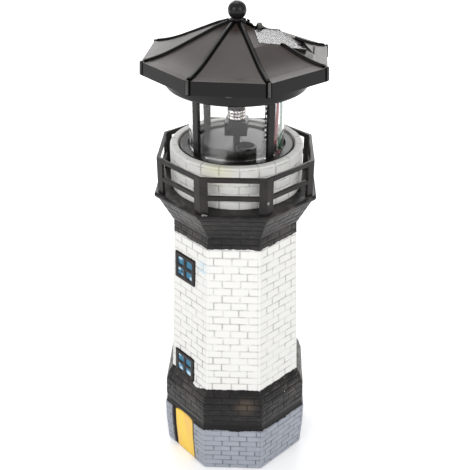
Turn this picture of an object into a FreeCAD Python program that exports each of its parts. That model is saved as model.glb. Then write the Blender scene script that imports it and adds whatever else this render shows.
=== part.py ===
"""Solar garden lighthouse: a resin tower with a gallery and a plug-in lantern unit.

The document's sheet holds every driving size, in millimetres. Origin: centre of the base on the
ground, +Z up, the front of the tower faces -Y. Azimuths are measured from -Y towards +X.
"""
import FreeCAD, Part
import Sketcher
import math
import os
import re

doc = FreeCAD.newDocument("garden_lighthouse")
sheet = doc.addObject("Spreadsheet::Sheet", "Sizes")
names = []


def size(name, value):
    """Write one driving size on the sheet under its own alias."""
    row = str(len(names) + 1)
    sheet.set("A" + row, name)
    sheet.set("B" + row, str(value))
    sheet.setAlias("B" + row, name)
    names.append(name)


# ---------------------------------------------------------------- driving sizes
# lengths, in millimetres; a rise or a drop is a height, and an inset a difference of corner radii
LENGTHS = {
    # tower casting: its octagonal steps from the ground up
    "wall": 5.4,
    "plinth_radius": 61.0,
    "plinth_foot_inset": 1.1,
    "plinth_bulge_drop": 17.6,
    "plinth_top": 42.6,
    "skirt_inset": 1.0,
    "skirt_step": 0.6,
    "skirt_bend_rise": 22.8,
    "skirt_bend_inset": 0.8,
    "shoulder_rise": 8.0,
    "shoulder_inset": 2.7,
    "shaft_foot_rise": 5.0,
    "shaft_foot_inset": 3.2,
    "shaft_tall": 121.6,
    "neck_tall": 9.4,
    "neck_radius": 47.1,
    "neck_inset": 0.4,
    "corbel_tall": 19.0,
    "slab_thick": 5.0,
    "slab_edge": 2.2,
    "slab_under_inset": 3.1,
    "slab_round": 1.0,
    "walk_wide": 14.3,
    "hollow_roof": 3.0,
    # round drum on the slab, with the seat of the lantern
    "drum_tall": 29.7,
    "drum_wall": 5.7,
    "drum_round": 1.4,
    "seat_wide": 3.1,
    # relief windows and door on the left front face
    "window_wide": 22.2,
    "window_tall": 22.0,
    "window_shift": -5.1,
    "window_proud": 1.2,
    "upper_window_drop": 25.1,
    "lower_window_rise": 9.0,
    "pane_wide": 7.6,
    "pane_tall": 7.4,
    "pane_bar": 1.4,
    "pane_deep": 1.0,
    "door_wide": 21.5,
    "door_shift": -1.3,
    "door_foot": 3.0,
    "door_over": 1.9,
    "door_deep": 2.2,
    "door_reveal": 3.0,
    "door_panel_thick": 1.2,
    "door_edge": 0.8,
    "door_out": 3.0,
    # gallery railing
    "rail_inset": 2.9,
    "rail_thick": 2.0,
    "rail_rise": 26.2,
    "rail_tall": 3.4,
    "mid_rail_rise": 13.2,
    "post_flat": 5.4,
    "peg_radius": 0.8,
    "peg_deep": 4.0,
    "peg_inset": 1.4,
    "glue_gap": 0.1,
    # lantern base
    "flange_gap": 0.9,
    "flange_thick": 3.4,
    "flange_top_drop": 0.7,
    "flange_round": 1.2,
    "cup_gap": 0.8,
    "cup_wall": 2.0,
    "cup_tall": 23.6,
    "floor_drop": 1.3,
    "floor_thick": 3.6,
    "groove_gap": 0.3,
    "groove_margin": 1.3,
    "groove_deep": 1.5,
    "boss_margin": 0.6,
    "boss_radius": 6.6,
    "boss_bore": 5.3,
    "boss_tall": 8.8,
    "boss_screw_head": 3.6,
    "boss_screw_shank": 1.5,
    # clear cylinder and columns
    "tube_inset": 6.9,
    "tube_wall": 1.2,
    "column_wide": 5.3,
    "column_thick": 2.6,
    "column_gap": 0.3,
    "socket_gap": 0.1,
    "socket_deep": 1.6,
    "room_tall": 43.7,
    # roof
    "collar_tall": 11.1,
    "collar_inset": 16.0,
    "collar_wall": 2.0,
    "collar_floor": 3.0,
    "collar_round": 2.4,
    "fascia_tall": 8.6,
    "fascia_radius": 64.0,
    "fascia_top_inset": 0.6,
    "roof_wall": 2.0,
    "eave_rise": 0.7,
    "eave_inset": 6.0,
    "knee_rise": 3.1,
    "knee_inset": 10.7,
    "brow_rise": 5.5,
    "brow_inset": 12.7,
    "crown_rise": 8.5,
    "crown_radius": 14.7,
    "tip_rise": 3.5,
    "tip_radius": 4.2,
    "rib_wide": 2.4,
    "rib_proud": 1.0,
    "rib_start": 7.0,
    "rib_end_inset": 1.9,
    "plate_thick": 1.8,
    "plate_gap": 0.3,
    "finial_ball": 6.0,
    "finial_gap": 0.4,
    "finial_neck": 3.2,
    "finial_peg": 2.0,
    "finial_peg_deep": 2.2,
    # solar panel in its pocket
    "panel_rise": 11.46,
    "panel_length": 29.7,
    "panel_board": 2.6,
    "panel_glaze_thick": 0.8,
    "panel_gap": 1.0,
    "panel_side_gap": 0.4,
    "pocket_near": 6.8,
    "pocket_length": 39.7,
    "pocket_wide": 46.0,
    "pocket_floor_thick": 1.8,
    "tray_wall": 1.5,
    "tray_rim": 0.3,
    "roof_above_panel": 24.0,
    "sensor_radius": 2.2,
    "sensor_foot_tall": 1.2,
    "sensor_along": 23.6,
    "sensor_gap": 1.4,
    "sensor_sink": 0.6,
    # beacon: pedestal, reflector, lamp and drive
    "pedestal_wide": 15.3,
    "pedestal_rise": 8.7,
    "pedestal_tall": 9.5,
    "sleeve_radius": 2.4,
    "pedestal_wall": 1.6,
    "shaft_radius": 1.5,
    "shaft_gap": 0.1,
    "bearing_gap": 0.05,
    "foot_bearing_tall": 4.0,
    "reflector_radius": 6.5,
    "reflector_bore": 5.2,
    "reflector_tall": 6.8,
    "reflector_floor": 1.6,
    "reflector_gap": 0.6,
    "lamp_radius": 2.5,
    "lamp_drop": 3.2,
    "lamp_seat": 5.0,
    "holder_wide": 11.5,
    "holder_gap": 0.6,
    "tooth_module": 0.5,
    "gear_gap": 2.0,
    "gear_thick": 2.6,
    "mesh_gap": 0.05,
    "motor_radius": 6.0,
    "motor_tall": 7.0,
    "motor_shaft_radius": 0.75,
    "motor_shaft_length": 3.0,
    # battery, board, switch and covers
    "cell_radius": 5.25,
    "cell_length": 44.0,
    "nub_radius": 1.9,
    "nub_length": 1.0,
    "cell_offset": 17.0,
    "cell_rise": 5.35,
    "cell_margin": 1.9,
    "leaf_thick": 0.4,
    "leaf_wide": 8.0,
    "cradle_thick": 1.5,
    "cradle_rise": 4.5,
    "board_inset": 9.6,
    "board_wide": 12.0,
    "board_long": 18.0,
    "board_thick": 1.6,
    "board_drop": 8.1,
    "standoff_radius": 1.8,
    "standoff_spread": 6.0,
    "cover_thick": 2.0,
    "cover_gap": 0.3,
    "cover_post_radius": 3.2,
    "cover_post_inset": 5.1,
    "screw_hole": 1.0,
    "shank_gap": 0.05,
    "screw_head_radius": 2.6,
    "screw_head_tall": 1.4,
    "screw_length": 8.0,
    "door_gap": 0.3,
    "battery_door_wide": 12.4,
    "switch_x": -14.0,
    "switch_y": -20.0,
    "switch_long": 9.0,
    "switch_wide": 4.4,
    "switch_tall": 4.0,
    "knob_long": 2.4,
    "knob_wide": 1.8,
    "knob_proud": 1.4,
    "knob_in": 2.2,
    "knob_travel": 2.5,
    "knob_gap": 0.2,
    # roof screws and wires
    "roof_screw_out": 6.0,
    "roof_boss_radius": 3.0,
    "roof_screw_length": 5.0,
    "red_wire_radius": 0.8,
    "green_wire_radius": 0.6,
    "lead_gap": 0.3,
    "lead_end_gap": 0.2,
    "lead_reach": 6.0,
    "lead_along": 27.0,
    "red_lead_across": 2.0,
    "green_lead_across": -4.0,
    "lead_roof_rise": 5.5,
    "lead_collar_rise": 8.6,
    "red_middle_rise": 23.3,
    "green_middle_rise": 16.3,
    # how far a cut or a joined solid runs past a face
    "overlap": 1.0,
}
# angles, in degrees
ANGLES = {
    "relief_azimuth": -45.0,
    "lantern_turn": -3.03,
    "boss_azimuth": 21.0,
    "panel_azimuth": 112.5,
    "panel_slope": 9.1,
}
# numbers of teeth, and shares of a pitch or of a run
COUNTS = {
    "gear_teeth": 36,
    "pinion_teeth": 12,
    "tooth_share": 0.44,
    "wire_share": 0.45,
}
# sizes that are worked out from the ones above, from the ground up
FOLLOWS = {
    "plinth_foot_radius": "plinth_radius - plinth_foot_inset",
    "plinth_bulge_height": "plinth_top - plinth_bulge_drop",
    "skirt_radius": "plinth_radius - skirt_inset",
    "skirt_bend_radius": "skirt_radius - skirt_bend_inset",
    "skirt_bend_height": "plinth_top + skirt_step + skirt_bend_rise",
    "shoulder_radius": "skirt_bend_radius - shoulder_inset",
    "shoulder_height": "skirt_bend_height + shoulder_rise",
    "shaft_foot_radius": "shoulder_radius - shaft_foot_inset",
    "skirt_top": "shoulder_height + shaft_foot_rise",
    "shaft_top_radius": "neck_radius + neck_inset",
    "shaft_top": "skirt_top + shaft_tall",
    "neck_top": "shaft_top + neck_tall",
    "slab_under": "neck_top + corbel_tall",
    "slab_top": "slab_under + slab_thick",
    "hollow_top": "slab_under - hollow_roof",
    "upper_window_height": "shaft_top - upper_window_drop",
    "lower_window_height": "skirt_top + lower_window_rise",
    "door_tall": "plinth_top + door_over - door_foot",
    "drum_top": "slab_top + drum_tall",
    "rail_top": "slab_top + rail_rise",
    "mid_rail_top": "slab_top + mid_rail_rise",
    "cradle_inner": "(cell_length + nub_length) / 2 + leaf_thick",
    "cradle_end": "cell_offset + (leaf_wide + cradle_thick) / 2",
    "cup_room": "sqrt((cradle_inner + cradle_thick) ^ 2 + cradle_end ^ 2) + cell_margin",
    "cup_radius": "cup_room + cup_wall",
    "well_radius": "cup_radius + cup_gap",
    "flange_bore_radius": "well_radius + seat_wide",
    "flange_radius": "flange_bore_radius - flange_gap",
    "drum_radius": "flange_bore_radius + drum_wall",
    "slab_radius": "drum_radius + walk_wide",
    "slab_under_radius": "slab_radius - slab_under_inset",
    "rail_radius": "slab_radius - rail_inset",
    "flange_top": "drum_top - flange_top_drop",
    "seat_height": "flange_top - flange_thick",
    "floor_top": "flange_top - floor_drop",
    "floor_under": "floor_top - floor_thick",
    "cup_bottom": "seat_height - cup_tall",
    "cover_top": "cup_bottom + cover_thick",
    "cradle_foot": "cup_bottom + cradle_rise",
    "cell_height": "cup_bottom + cell_rise + cell_radius",
    "board_height": "floor_under - board_drop",
    "board_offset": "cup_room - board_inset",
    "cover_post_orbit": "cup_room - cover_post_inset",
    "tube_radius": "flange_radius - tube_inset",
    "groove_inner": "tube_radius - tube_wall - groove_gap",
    "groove_outer": "tube_radius + groove_margin",
    "groove_floor": "floor_top - groove_deep",
    "column_inner": "tube_radius + column_gap",
    "boss_orbit": "groove_inner - boss_margin - boss_radius",
    "mesh_distance": "tooth_module * (gear_teeth + pinion_teeth) / 2 + mesh_gap",
    "motor_foot": "floor_under - motor_tall",
    "gear_height": "motor_foot - gear_gap - gear_thick",
    "shaft_foot": "cover_top + shaft_gap",
    "pedestal_foot": "floor_top + pedestal_rise",
    "reflector_foot": "pedestal_foot + pedestal_tall + reflector_gap",
    "shaft_top_end": "reflector_foot + reflector_floor",
    "holder_foot": "reflector_foot + reflector_tall + holder_gap",
    "collar_bottom": "floor_top + room_tall",
    "tube_top": "collar_bottom + collar_wall / 2",
    "collar_radius": "fascia_radius - collar_inset",
    "roof_screw_orbit": "collar_radius + roof_screw_out",
    "fascia_bottom": "collar_bottom + collar_tall",
    "fascia_top_radius": "fascia_radius - fascia_top_inset",
    "plate_radius": "fascia_radius - roof_wall - plate_gap",
    "eave_radius": "fascia_top_radius - eave_inset",
    "eave_height": "fascia_bottom + fascia_tall + eave_rise",
    "knee_radius": "eave_radius - knee_inset",
    "knee_height": "eave_height + knee_rise",
    "brow_radius": "knee_radius - brow_inset",
    "brow_height": "knee_height + brow_rise",
    "crown_height": "brow_height + crown_rise",
    "tip_height": "crown_height + tip_rise",
    "finial_height": "tip_height + finial_gap + finial_ball",
    "rib_end": "fascia_top_radius - rib_end_inset",
    "panel_height": "eave_height + panel_rise",
    "panel_near": "pocket_near + panel_gap",
    "panel_wide": "pocket_wide - 2 * panel_side_gap",
    "pocket_deep": "panel_board + panel_glaze_thick",
    "sensor_across": "pocket_wide / 2 + sensor_gap",
}
for table in (LENGTHS, ANGLES, COUNTS):
    for name, value in table.items():
        size(name, value)
for name, rule in FOLLOWS.items():
    size(name, "=" + rule)
doc.recompute()

SIDES = 8
CORNER = 360.0 / SIDES / 2


def formula(text):
    """Put the sheet's name before each of its aliases in a formula."""
    return re.sub(r"[a-z][a-z_]+", lambda word: ("Sizes." if word[0] in names else "") + word[0], text)


def number(text):
    """Work out a formula in the sheet's aliases."""
    return float(sheet.evalExpression(formula(text)))


def bind(item, **rules):
    """Tie properties of an object to formulas on the sheet."""
    for name, rule in rules.items():
        item.setExpression(name, formula(rule))
    return item


def lift(item, height, x="0", y="0"):
    """Tie an object's place to formulas on the sheet."""
    for axis, rule in (("x", x), ("y", y), ("z", height)):
        item.setExpression(".Placement.Base." + axis, formula(rule))
    return item


def cylinder(name, radius, low, tall, x="0", y="0"):
    item = bind(doc.addObject("Part::Cylinder", name), Radius=radius, Height=tall)
    return lift(item, low, x, y)


def block(name, long, wide, tall, x, y, low):
    """A box centred on (x, y), with its foot at low."""
    item = bind(doc.addObject("Part::Box", name), Length=long, Width=wide, Height=tall)
    return lift(item, low, f"{x} - ({long}) / 2", f"{y} - ({wide}) / 2")


def octagon_stack(name, steps):
    """A solid through octagons with a flat at the front, from (corner radius, height) formulas."""
    rings = []
    for count, (radius, height) in enumerate(steps):
        ring = bind(doc.addObject("Part::RegularPolygon", f"{name}_ring_{count}"), Circumradius=radius)
        ring.Polygon = SIDES
        ring.Placement.Rotation = FreeCAD.Rotation(FreeCAD.Vector(0, 0, 1), CORNER)
        rings.append(lift(ring, height))
    stack = doc.addObject("Part::Loft", name)
    stack.Sections = rings
    stack.Solid = True
    stack.Ruled = True
    stack.Linearize = True
    return stack


def fuse(name, *pieces):
    item = doc.addObject("Part::MultiFuse", name)
    item.Shapes = list(pieces)
    return item


def cut(name, base, *tools):
    item = doc.addObject("Part::Cut", name)
    item.Base = base
    item.Tool = tools[0] if len(tools) == 1 else fuse(name + "_tools", *tools)
    return item


def group(name, pieces):
    """Several separate solids that share one node."""
    item = doc.addObject("Part::Compound", name)
    item.Links = list(pieces)
    return item


def turned(name, profile, rounds=()):
    """A body turned about Z. profile: (radius, height) formulas; rounds: (corner number, radius)."""
    body = doc.addObject("PartDesign::Body", name)
    plane = [item for item in body.Origin.OriginFeatures if item.Role == "XZ_Plane"][0]
    sketch = body.newObject("Sketcher::SketchObject", name + "_profile")
    sketch.AttachmentSupport = [(plane, "")]
    sketch.MapMode = "FlatFace"
    spots = [FreeCAD.Vector(number(r), number(z), 0) for r, z in profile]
    count = len(spots)
    for index in range(count):
        sketch.addGeometry(Part.LineSegment(spots[index], spots[(index + 1) % count]), False)
    for index in range(count):
        joint = Sketcher.Constraint("Coincident", index, 2, (index + 1) % count, 1)
        sketch.addConstraint(joint)
    for index, (radius, height) in enumerate(profile):
        for kind, rule in (("DistanceX", radius), ("DistanceY", height)):
            if rule == "0":
                sketch.addConstraint(Sketcher.Constraint("PointOnObject", index, 1, -2))
                continue
            which = sketch.addConstraint(Sketcher.Constraint(kind, -1, 1, index, 1, number(rule)))
            sketch.setExpression(f"Constraints[{which}]", formula(rule))
    spin = body.newObject("PartDesign::Revolution", name + "_turned")
    spin.Profile = sketch
    spin.ReferenceAxis = (sketch, ["V_Axis"])
    spin.Angle = 360
    doc.recompute()
    for corner, radius in rounds:
        edges = round_edges(body.Tip.Shape, profile[corner])
        fillet = body.newObject("PartDesign::Fillet", f"{name}_round_{corner}")
        fillet.Base = (spin, edges)
        bind(fillet, Radius=radius)
        spin = fillet
        doc.recompute()
    return body


def round_edges(shape, spot):
    """Names of the circles about Z through a profile corner."""
    radius, height = number(spot[0]), number(spot[1])
    found = []
    for index, edge in enumerate(shape.Edges, 1):
        curve = edge.Curve
        if isinstance(curve, Part.Circle) and abs(curve.Radius - radius) < 1e-4:
            if abs(curve.Center.z - height) < 1e-4:
                found.append(f"Edge{index}")
    return found


def around(azimuth, radius, height=0.0):
    """The point at an azimuth from -Y, a radius and a height."""
    turn = math.radians(azimuth)
    return FreeCAD.Vector(radius * math.sin(turn), -radius * math.cos(turn), height)


def spot_rule(azimuth, radius):
    """Formulas for the x and y of a point at an azimuth and a radius."""
    return f"sin({azimuth}) * ({radius})", f"-cos({azimuth}) * ({radius})"


def seat(item, placement):
    """Give an object a place worked out from the sheet's values."""
    item.Placement = placement
    return item


def turn_z(angle):
    return FreeCAD.Placement(FreeCAD.Vector(), FreeCAD.Rotation(FreeCAD.Vector(0, 0, 1), angle))


# ---------------------------------------------------------------- tower
def tower_casting():
    """Hollow casting: outer steps and drum, less the hollow, the well, the peg holes and the reliefs."""
    outside = octagon_stack("tower_outside", [
        ("plinth_foot_radius", "0"),
        ("plinth_radius", "plinth_bulge_height"),
        ("plinth_radius", "plinth_top"),
        ("skirt_radius", "plinth_top + skirt_step"),
        ("skirt_bend_radius", "skirt_bend_height"),
        ("shoulder_radius", "shoulder_height"),
        ("shaft_foot_radius", "skirt_top"),
        ("shaft_top_radius", "shaft_top"),
        ("neck_radius", "neck_top"),
        ("slab_under_radius", "slab_under"),
        ("slab_radius", "slab_under + slab_edge"),
        ("slab_radius", "slab_top - slab_round"),
        ("slab_radius - slab_round", "slab_top")])
    hollow = octagon_stack("tower_hollow", [
        ("plinth_foot_radius - wall", "-overlap"),
        ("skirt_bend_radius - wall", "plinth_top"),
        ("shaft_foot_radius - wall", "shoulder_height"),
        ("shaft_top_radius - wall", "shaft_top"),
        ("neck_radius - wall", "hollow_top")])
    drum = turned("drum", [
        ("well_radius", "slab_under"),
        ("drum_radius", "slab_under"),
        ("drum_radius", "drum_top"),
        ("flange_bore_radius", "drum_top"),
        ("flange_bore_radius", "seat_height"),
        ("well_radius", "seat_height")], rounds=[(2, "drum_round")])
    well = cylinder("lantern_well", "well_radius", "hollow_top - overlap", "drum_top - hollow_top")
    pegs = []
    for count in range(SIDES):
        x, y = spot_rule(CORNER + count * 2 * CORNER, "rail_radius - peg_inset")
        pegs.append(cylinder(f"peg_hole_{count}", "peg_radius + glue_gap", "slab_top - peg_deep - glue_gap",
                             "peg_deep + overlap", x, y))
    plain = cut("tower_plain", fuse("tower_steps", outside, drum), hollow, well, *pegs)
    frames, panes = [], []
    for floor in ("upper", "lower"):
        frame, holes = window(floor)
        frames.append(frame)
        panes += holes
    recess, panel = door()
    open_doorway = cut("tower_doorway", fuse("tower_relief", plain, *frames), recess, *panes)
    return fuse("tower_casting", open_doorway, panel)


def face_place(height, corner_radius, lean):
    """Frame on the relief face: X to the right, -Y outwards, Z up the face."""
    flat = corner_radius * math.cos(math.radians(CORNER))
    slide = FreeCAD.Placement(FreeCAD.Vector(0, -flat, height),
                              FreeCAD.Rotation(FreeCAD.Vector(1, 0, 0), -lean))
    return turn_z(number("relief_azimuth")).multiply(slide)


def relief_block(name, long, deep, tall, left, front, low, place):
    """A box in a face's frame, from its left, front and low corner."""
    item = bind(doc.addObject("Part::Box", name), Length=long, Width=deep, Height=tall)
    corner = FreeCAD.Vector(number(left), number(front), number(low))
    return seat(item, place.multiply(FreeCAD.Placement(corner, FreeCAD.Rotation())))


def window(floor):
    """A raised frame and the four panes cut into it."""
    rise = number("shaft_top - skirt_top")
    lean_in = number("shaft_foot_radius - shaft_top_radius") * math.cos(math.radians(CORNER))
    height = number(floor + "_window_height")
    share = (height - number("skirt_top")) / rise
    radius = number("shaft_foot_radius") - share * number("shaft_foot_radius - shaft_top_radius")
    place = face_place(height, radius, math.degrees(math.atan2(lean_in, rise)))
    frame = relief_block(floor + "_frame", "window_wide", "window_proud + overlap", "window_tall",
                         "window_shift - window_wide / 2", "-window_proud", "-window_tall / 2", place)
    panes = []
    for column, left in enumerate(("-pane_bar / 2 - pane_wide", "pane_bar / 2")):
        for row, low in enumerate(("-pane_bar / 2 - pane_tall", "pane_bar / 2")):
            panes.append(relief_block(f"{floor}_pane_{column}{row}", "pane_wide", "pane_deep + overlap",
                                      "pane_tall", "window_shift + " + left,
                                      "-window_proud - overlap", low, place))
    return frame, panes


def door():
    """The recess of the doorway and the door panel that stands in it."""
    place = face_place(0, number("plinth_radius"), 0)
    recess = relief_block("door_recess", "door_wide + door_reveal + door_edge", "door_deep + door_out",
                          "door_tall",
                          "door_shift - door_wide / 2 - door_reveal", "-door_out", "door_foot", place)
    panel = relief_block("door_panel", "door_wide", "door_panel_thick + overlap", "door_tall - door_edge",
                         "door_shift - door_wide / 2", "door_deep - door_panel_thick", "door_foot", place)
    return recess, panel


def plan_extrusion(name, points, low, tall):
    """A closed outline in plan, raised from low by tall."""
    outline = doc.addObject("Part::Polygon", name + "_outline")
    outline.Nodes = points
    outline.Close = True
    lift(outline, low)
    item = doc.addObject("Part::Extrusion", name)
    item.Base = outline
    item.DirMode = "Custom"
    item.Dir = FreeCAD.Vector(0, 0, 1)
    item.Solid = True
    return bind(item, LengthFwd=tall)


def railing_posts():
    """Eight plates bent round the corners, each with a glue peg in the slab."""
    bend = math.radians(CORNER)
    thick = number("rail_thick")
    corner = FreeCAD.Vector(0, -number("rail_radius"), 0)
    right = FreeCAD.Vector(math.cos(bend), math.sin(bend), 0) * number("post_flat")
    left = FreeCAD.Vector(-right.x, right.y, 0)
    inward_right = FreeCAD.Vector(-math.sin(bend), math.cos(bend), 0) * thick
    inward_left = FreeCAD.Vector(-inward_right.x, inward_right.y, 0)
    inner_corner = corner + FreeCAD.Vector(0, thick / math.cos(bend), 0)
    outline = [corner + left, corner, corner + right, corner + right + inward_right, inner_corner,
               corner + left + inward_left]
    posts = []
    for count in range(SIDES):
        plate = plan_extrusion(f"post_plate_{count}", outline, "slab_top", "rail_top - slab_top")
        peg = cylinder(f"post_peg_{count}", "peg_radius", "slab_top - peg_deep", "peg_deep + overlap",
                       "0", "peg_inset - rail_radius")
        post = fuse(f"post_{count}", plate, peg)
        posts.append(seat(post, turn_z(CORNER + count * 2 * CORNER)))
    return group("railing_posts", posts)


def railing_bars(name, top):
    """Eight bars that butt against the posts' edges."""
    bend = math.radians(CORNER)
    side = 2 * number("rail_radius") * math.sin(bend) - 2 * number("post_flat")
    flat = number("rail_radius") * math.cos(bend)
    bars = []
    for count in range(SIDES):
        bar = doc.addObject("Part::Box", f"{name}_bar_{count}")
        bar.Length = side
        bind(bar, Width="rail_thick", Height="rail_tall")
        corner = FreeCAD.Vector(-side / 2, -flat, number(top) - number("rail_tall"))
        place = FreeCAD.Placement(corner, FreeCAD.Rotation())
        bars.append(seat(bar, turn_z(count * 2 * CORNER).multiply(place)))
    return group(name, bars)


# ---------------------------------------------------------------- lantern base and its inside
POST_AZIMUTHS = (0, 180, 270)
COLUMN_AZIMUTHS = (-45, 45, 135, 225)


def column_block(name, azimuth, low, tall, gap):
    """The outline of a column, grown by gap all round."""
    item = bind(doc.addObject("Part::Box", name), Length=f"column_wide + 2 * ({gap})",
                Width=f"column_thick + 2 * ({gap})", Height=tall)
    far = number(f"column_inner + column_thick + ({gap})")
    corner = FreeCAD.Vector(number(f"-column_wide / 2 - ({gap})"), -far, number(low))
    return seat(item, turn_z(azimuth).multiply(FreeCAD.Placement(corner, FreeCAD.Rotation())))


def lantern_base():
    """Cup with flange, groove and floor; below it posts, standoffs and the cell's cradle."""
    shell = turned("base_shell", [
        ("cup_radius - cup_wall", "cup_bottom"),
        ("cup_radius", "cup_bottom"),
        ("cup_radius", "seat_height"),
        ("flange_radius", "seat_height"),
        ("flange_radius", "flange_top"),
        ("groove_outer", "flange_top"),
        ("groove_outer", "groove_floor"),
        ("groove_inner", "groove_floor"),
        ("groove_inner", "floor_top"),
        ("0", "floor_top"),
        ("0", "floor_under"),
        ("cup_radius - cup_wall", "floor_under")], rounds=[(4, "flange_round")])
    boss_x, boss_y = spot_rule("boss_azimuth", "boss_orbit")
    adds = [cylinder("screw_boss", "boss_radius", "floor_top - overlap", "boss_tall + overlap", boss_x,
                     boss_y)]
    holes = [cylinder("screw_boss_bore", "boss_bore", "floor_top", "boss_tall + overlap", boss_x, boss_y),
             cylinder("boss_shank_hole", "boss_screw_shank + glue_gap", "floor_under - overlap",
                      "floor_thick + 2 * overlap", boss_x, boss_y),
             cylinder("shaft_hole", "shaft_radius + bearing_gap", "floor_under - overlap",
                      "floor_thick + 2 * overlap")]
    for azimuth in POST_AZIMUTHS:
        x, y = spot_rule(azimuth, "cover_post_orbit")
        adds.append(cylinder(f"cover_post_{azimuth}", "cover_post_radius", "cover_top",
                             "floor_under - cover_top + overlap", x, y))
        holes.append(cylinder(f"cover_post_hole_{azimuth}", "screw_hole", "cover_top - overlap",
                              "screw_length + overlap", x, y))
    for side in ("-", "+"):
        adds.append(block(f"cradle_{'left' if side == '-' else 'right'}", "cradle_thick",
                          "leaf_wide + cradle_thick",
                          "floor_under - cradle_foot + overlap", f"{side}(cradle_inner + cradle_thick / 2)",
                          "cell_offset", "cradle_foot"))
        adds.append(cylinder(f"standoff_{'front' if side == '-' else 'back'}", "standoff_radius",
                             "board_height + board_thick",
                             "floor_under - board_height - board_thick + overlap",
                             "board_offset", f"{side}standoff_spread"))
    for azimuth in COLUMN_AZIMUTHS:
        holes.append(column_block(f"base_socket_{azimuth}", azimuth, "flange_top - socket_deep",
                                  "socket_deep + overlap", "socket_gap"))
    for wire in ("red", "green"):
        spot = WIRE_ROUTES[wire][-2]
        holes.append(cylinder(wire + "_floor_hole", wire + "_wire_radius + lead_gap",
                              "floor_under - overlap",
                              "floor_thick + 2 * overlap", repr(spot[0]), repr(spot[1])))
    return cut("lantern_base", fuse("base_solid", shell, *adds), *holes)


def boss_screw():
    boss_x, boss_y = spot_rule("boss_azimuth", "boss_orbit")
    head = cylinder("boss_screw_head_disc", "boss_screw_head", "floor_top", "boss_screw_head / 2",
                    boss_x, boss_y)
    shank = cylinder("boss_screw_stem", "boss_screw_shank", "floor_under - screw_length",
                     "floor_thick + screw_length + overlap", boss_x, boss_y)
    slot = block("boss_screw_slot", "boss_screw_head * 1.4", "boss_screw_head / 5", "boss_screw_head / 2",
                 boss_x, boss_y, "floor_top + boss_screw_head / 4")
    return cut("boss_screw", fuse("boss_screw_solid", head, shank), slot)


def base_cover():
    """Round plate with the cell's door opening, the switch slot, a foot bearing and a screw post."""
    boss_x, boss_y = spot_rule("boss_azimuth", "boss_orbit")
    plate = cylinder("cover_plate", "cup_radius - cup_wall - cover_gap", "cup_bottom", "cover_thick")
    foot = cylinder("shaft_foot_bearing", "2 * shaft_radius", "cup_bottom",
                    "cover_thick + foot_bearing_tall")
    post = cylinder("cover_boss_post", "cover_post_radius", "cup_bottom", "floor_under - cup_bottom",
                    boss_x, boss_y)
    holes = [
        cylinder("foot_bearing_bore", "shaft_radius + bearing_gap", "cover_top",
                 "foot_bearing_tall + overlap"),
        cylinder("cover_boss_hole", "boss_screw_shank", "floor_under - screw_length - glue_gap",
                 "screw_length + overlap", boss_x, boss_y),
        block("cell_opening", "2 * cradle_inner", "battery_door_wide", "cover_thick + 2 * overlap",
              "0", "cell_offset", "cup_bottom - overlap"),
        block("knob_slot", "knob_long + knob_travel + 2 * knob_gap", "knob_wide + 2 * knob_gap",
              "cover_thick + 2 * overlap", "switch_x", "switch_y", "cup_bottom - overlap")]
    for azimuth in POST_AZIMUTHS:
        x, y = spot_rule(azimuth, "cover_post_orbit")
        holes.append(cylinder(f"cover_hole_{azimuth}", "screw_hole + glue_gap", "cup_bottom - overlap",
                              "cover_thick + 2 * overlap", x, y))
    return cut("base_cover", fuse("cover_solid", plate, foot, post), *holes)


def battery_cover():
    return group("battery_cover", [block("battery_door", "2 * (cradle_inner - door_gap)",
                                         "battery_door_wide - 2 * door_gap", "cover_thick",
                                         "0", "cell_offset", "cup_bottom")])


def headed_screw(name, azimuth, orbit, head_low, radius, length):
    """A screw whose head hangs under a plate, with its shank upwards."""
    x, y = spot_rule(azimuth, orbit)
    head = cylinder(name + "_head", "screw_head_radius", head_low, "screw_head_tall", x, y)
    shank = cylinder(name + "_shank", radius, head_low, f"screw_head_tall + {length}", x, y)
    return fuse(name, head, shank)


def base_screws():
    return group("base_screws", [
        headed_screw(f"base_screw_{azimuth}", azimuth, "cover_post_orbit", "cup_bottom - screw_head_tall",
                     "screw_hole - shank_gap",
                     "cover_thick + screw_length - overlap") for azimuth in POST_AZIMUTHS])


def battery():
    """One cell lying along X."""
    side = FreeCAD.Rotation(FreeCAD.Vector(0, 1, 0), 90)
    can = bind(doc.addObject("Part::Cylinder", "cell_can"), Radius="cell_radius", Height="cell_length")
    nub = bind(doc.addObject("Part::Cylinder", "cell_nub"), Radius="nub_radius",
               Height="nub_length + overlap")
    can.Placement.Rotation = side
    nub.Placement.Rotation = side
    lift(can, "cell_height", "-(cell_length + nub_length) / 2", "cell_offset")
    lift(nub, "cell_height", "(cell_length - nub_length) / 2 - overlap", "cell_offset")
    return fuse("battery", can, nub)


def battery_contacts():
    leaves = [block(f"contact_{count}", "leaf_thick", "leaf_wide", "2 * cell_radius",
                    f"{side}(cradle_inner - leaf_thick / 2)", "cell_offset", "cell_height - cell_radius")
              for count, side in enumerate(("-", "+"))]
    return group("battery_contacts", leaves)


def circuit_board():
    return group("circuit_board", [block("board_plate", "board_wide", "board_long", "board_thick",
                                         "board_offset", "0", "board_height")])


def switch_body():
    case = block("switch_case", "switch_long", "switch_wide", "switch_tall", "switch_x", "switch_y",
                 "cover_top")
    room = block("switch_room", "knob_long + knob_travel + 2 * knob_gap", "knob_wide + 2 * knob_gap",
                 "knob_in + knob_gap + overlap", "switch_x", "switch_y", "cover_top - overlap")
    return cut("switch_body", case, room)


def switch_slider():
    return group("switch_slider", [block("switch_knob", "knob_long", "knob_wide",
                                         "knob_proud + cover_thick + knob_in",
                                         "switch_x - knob_travel / 2", "switch_y",
                                         "cup_bottom - knob_proud")])


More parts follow.
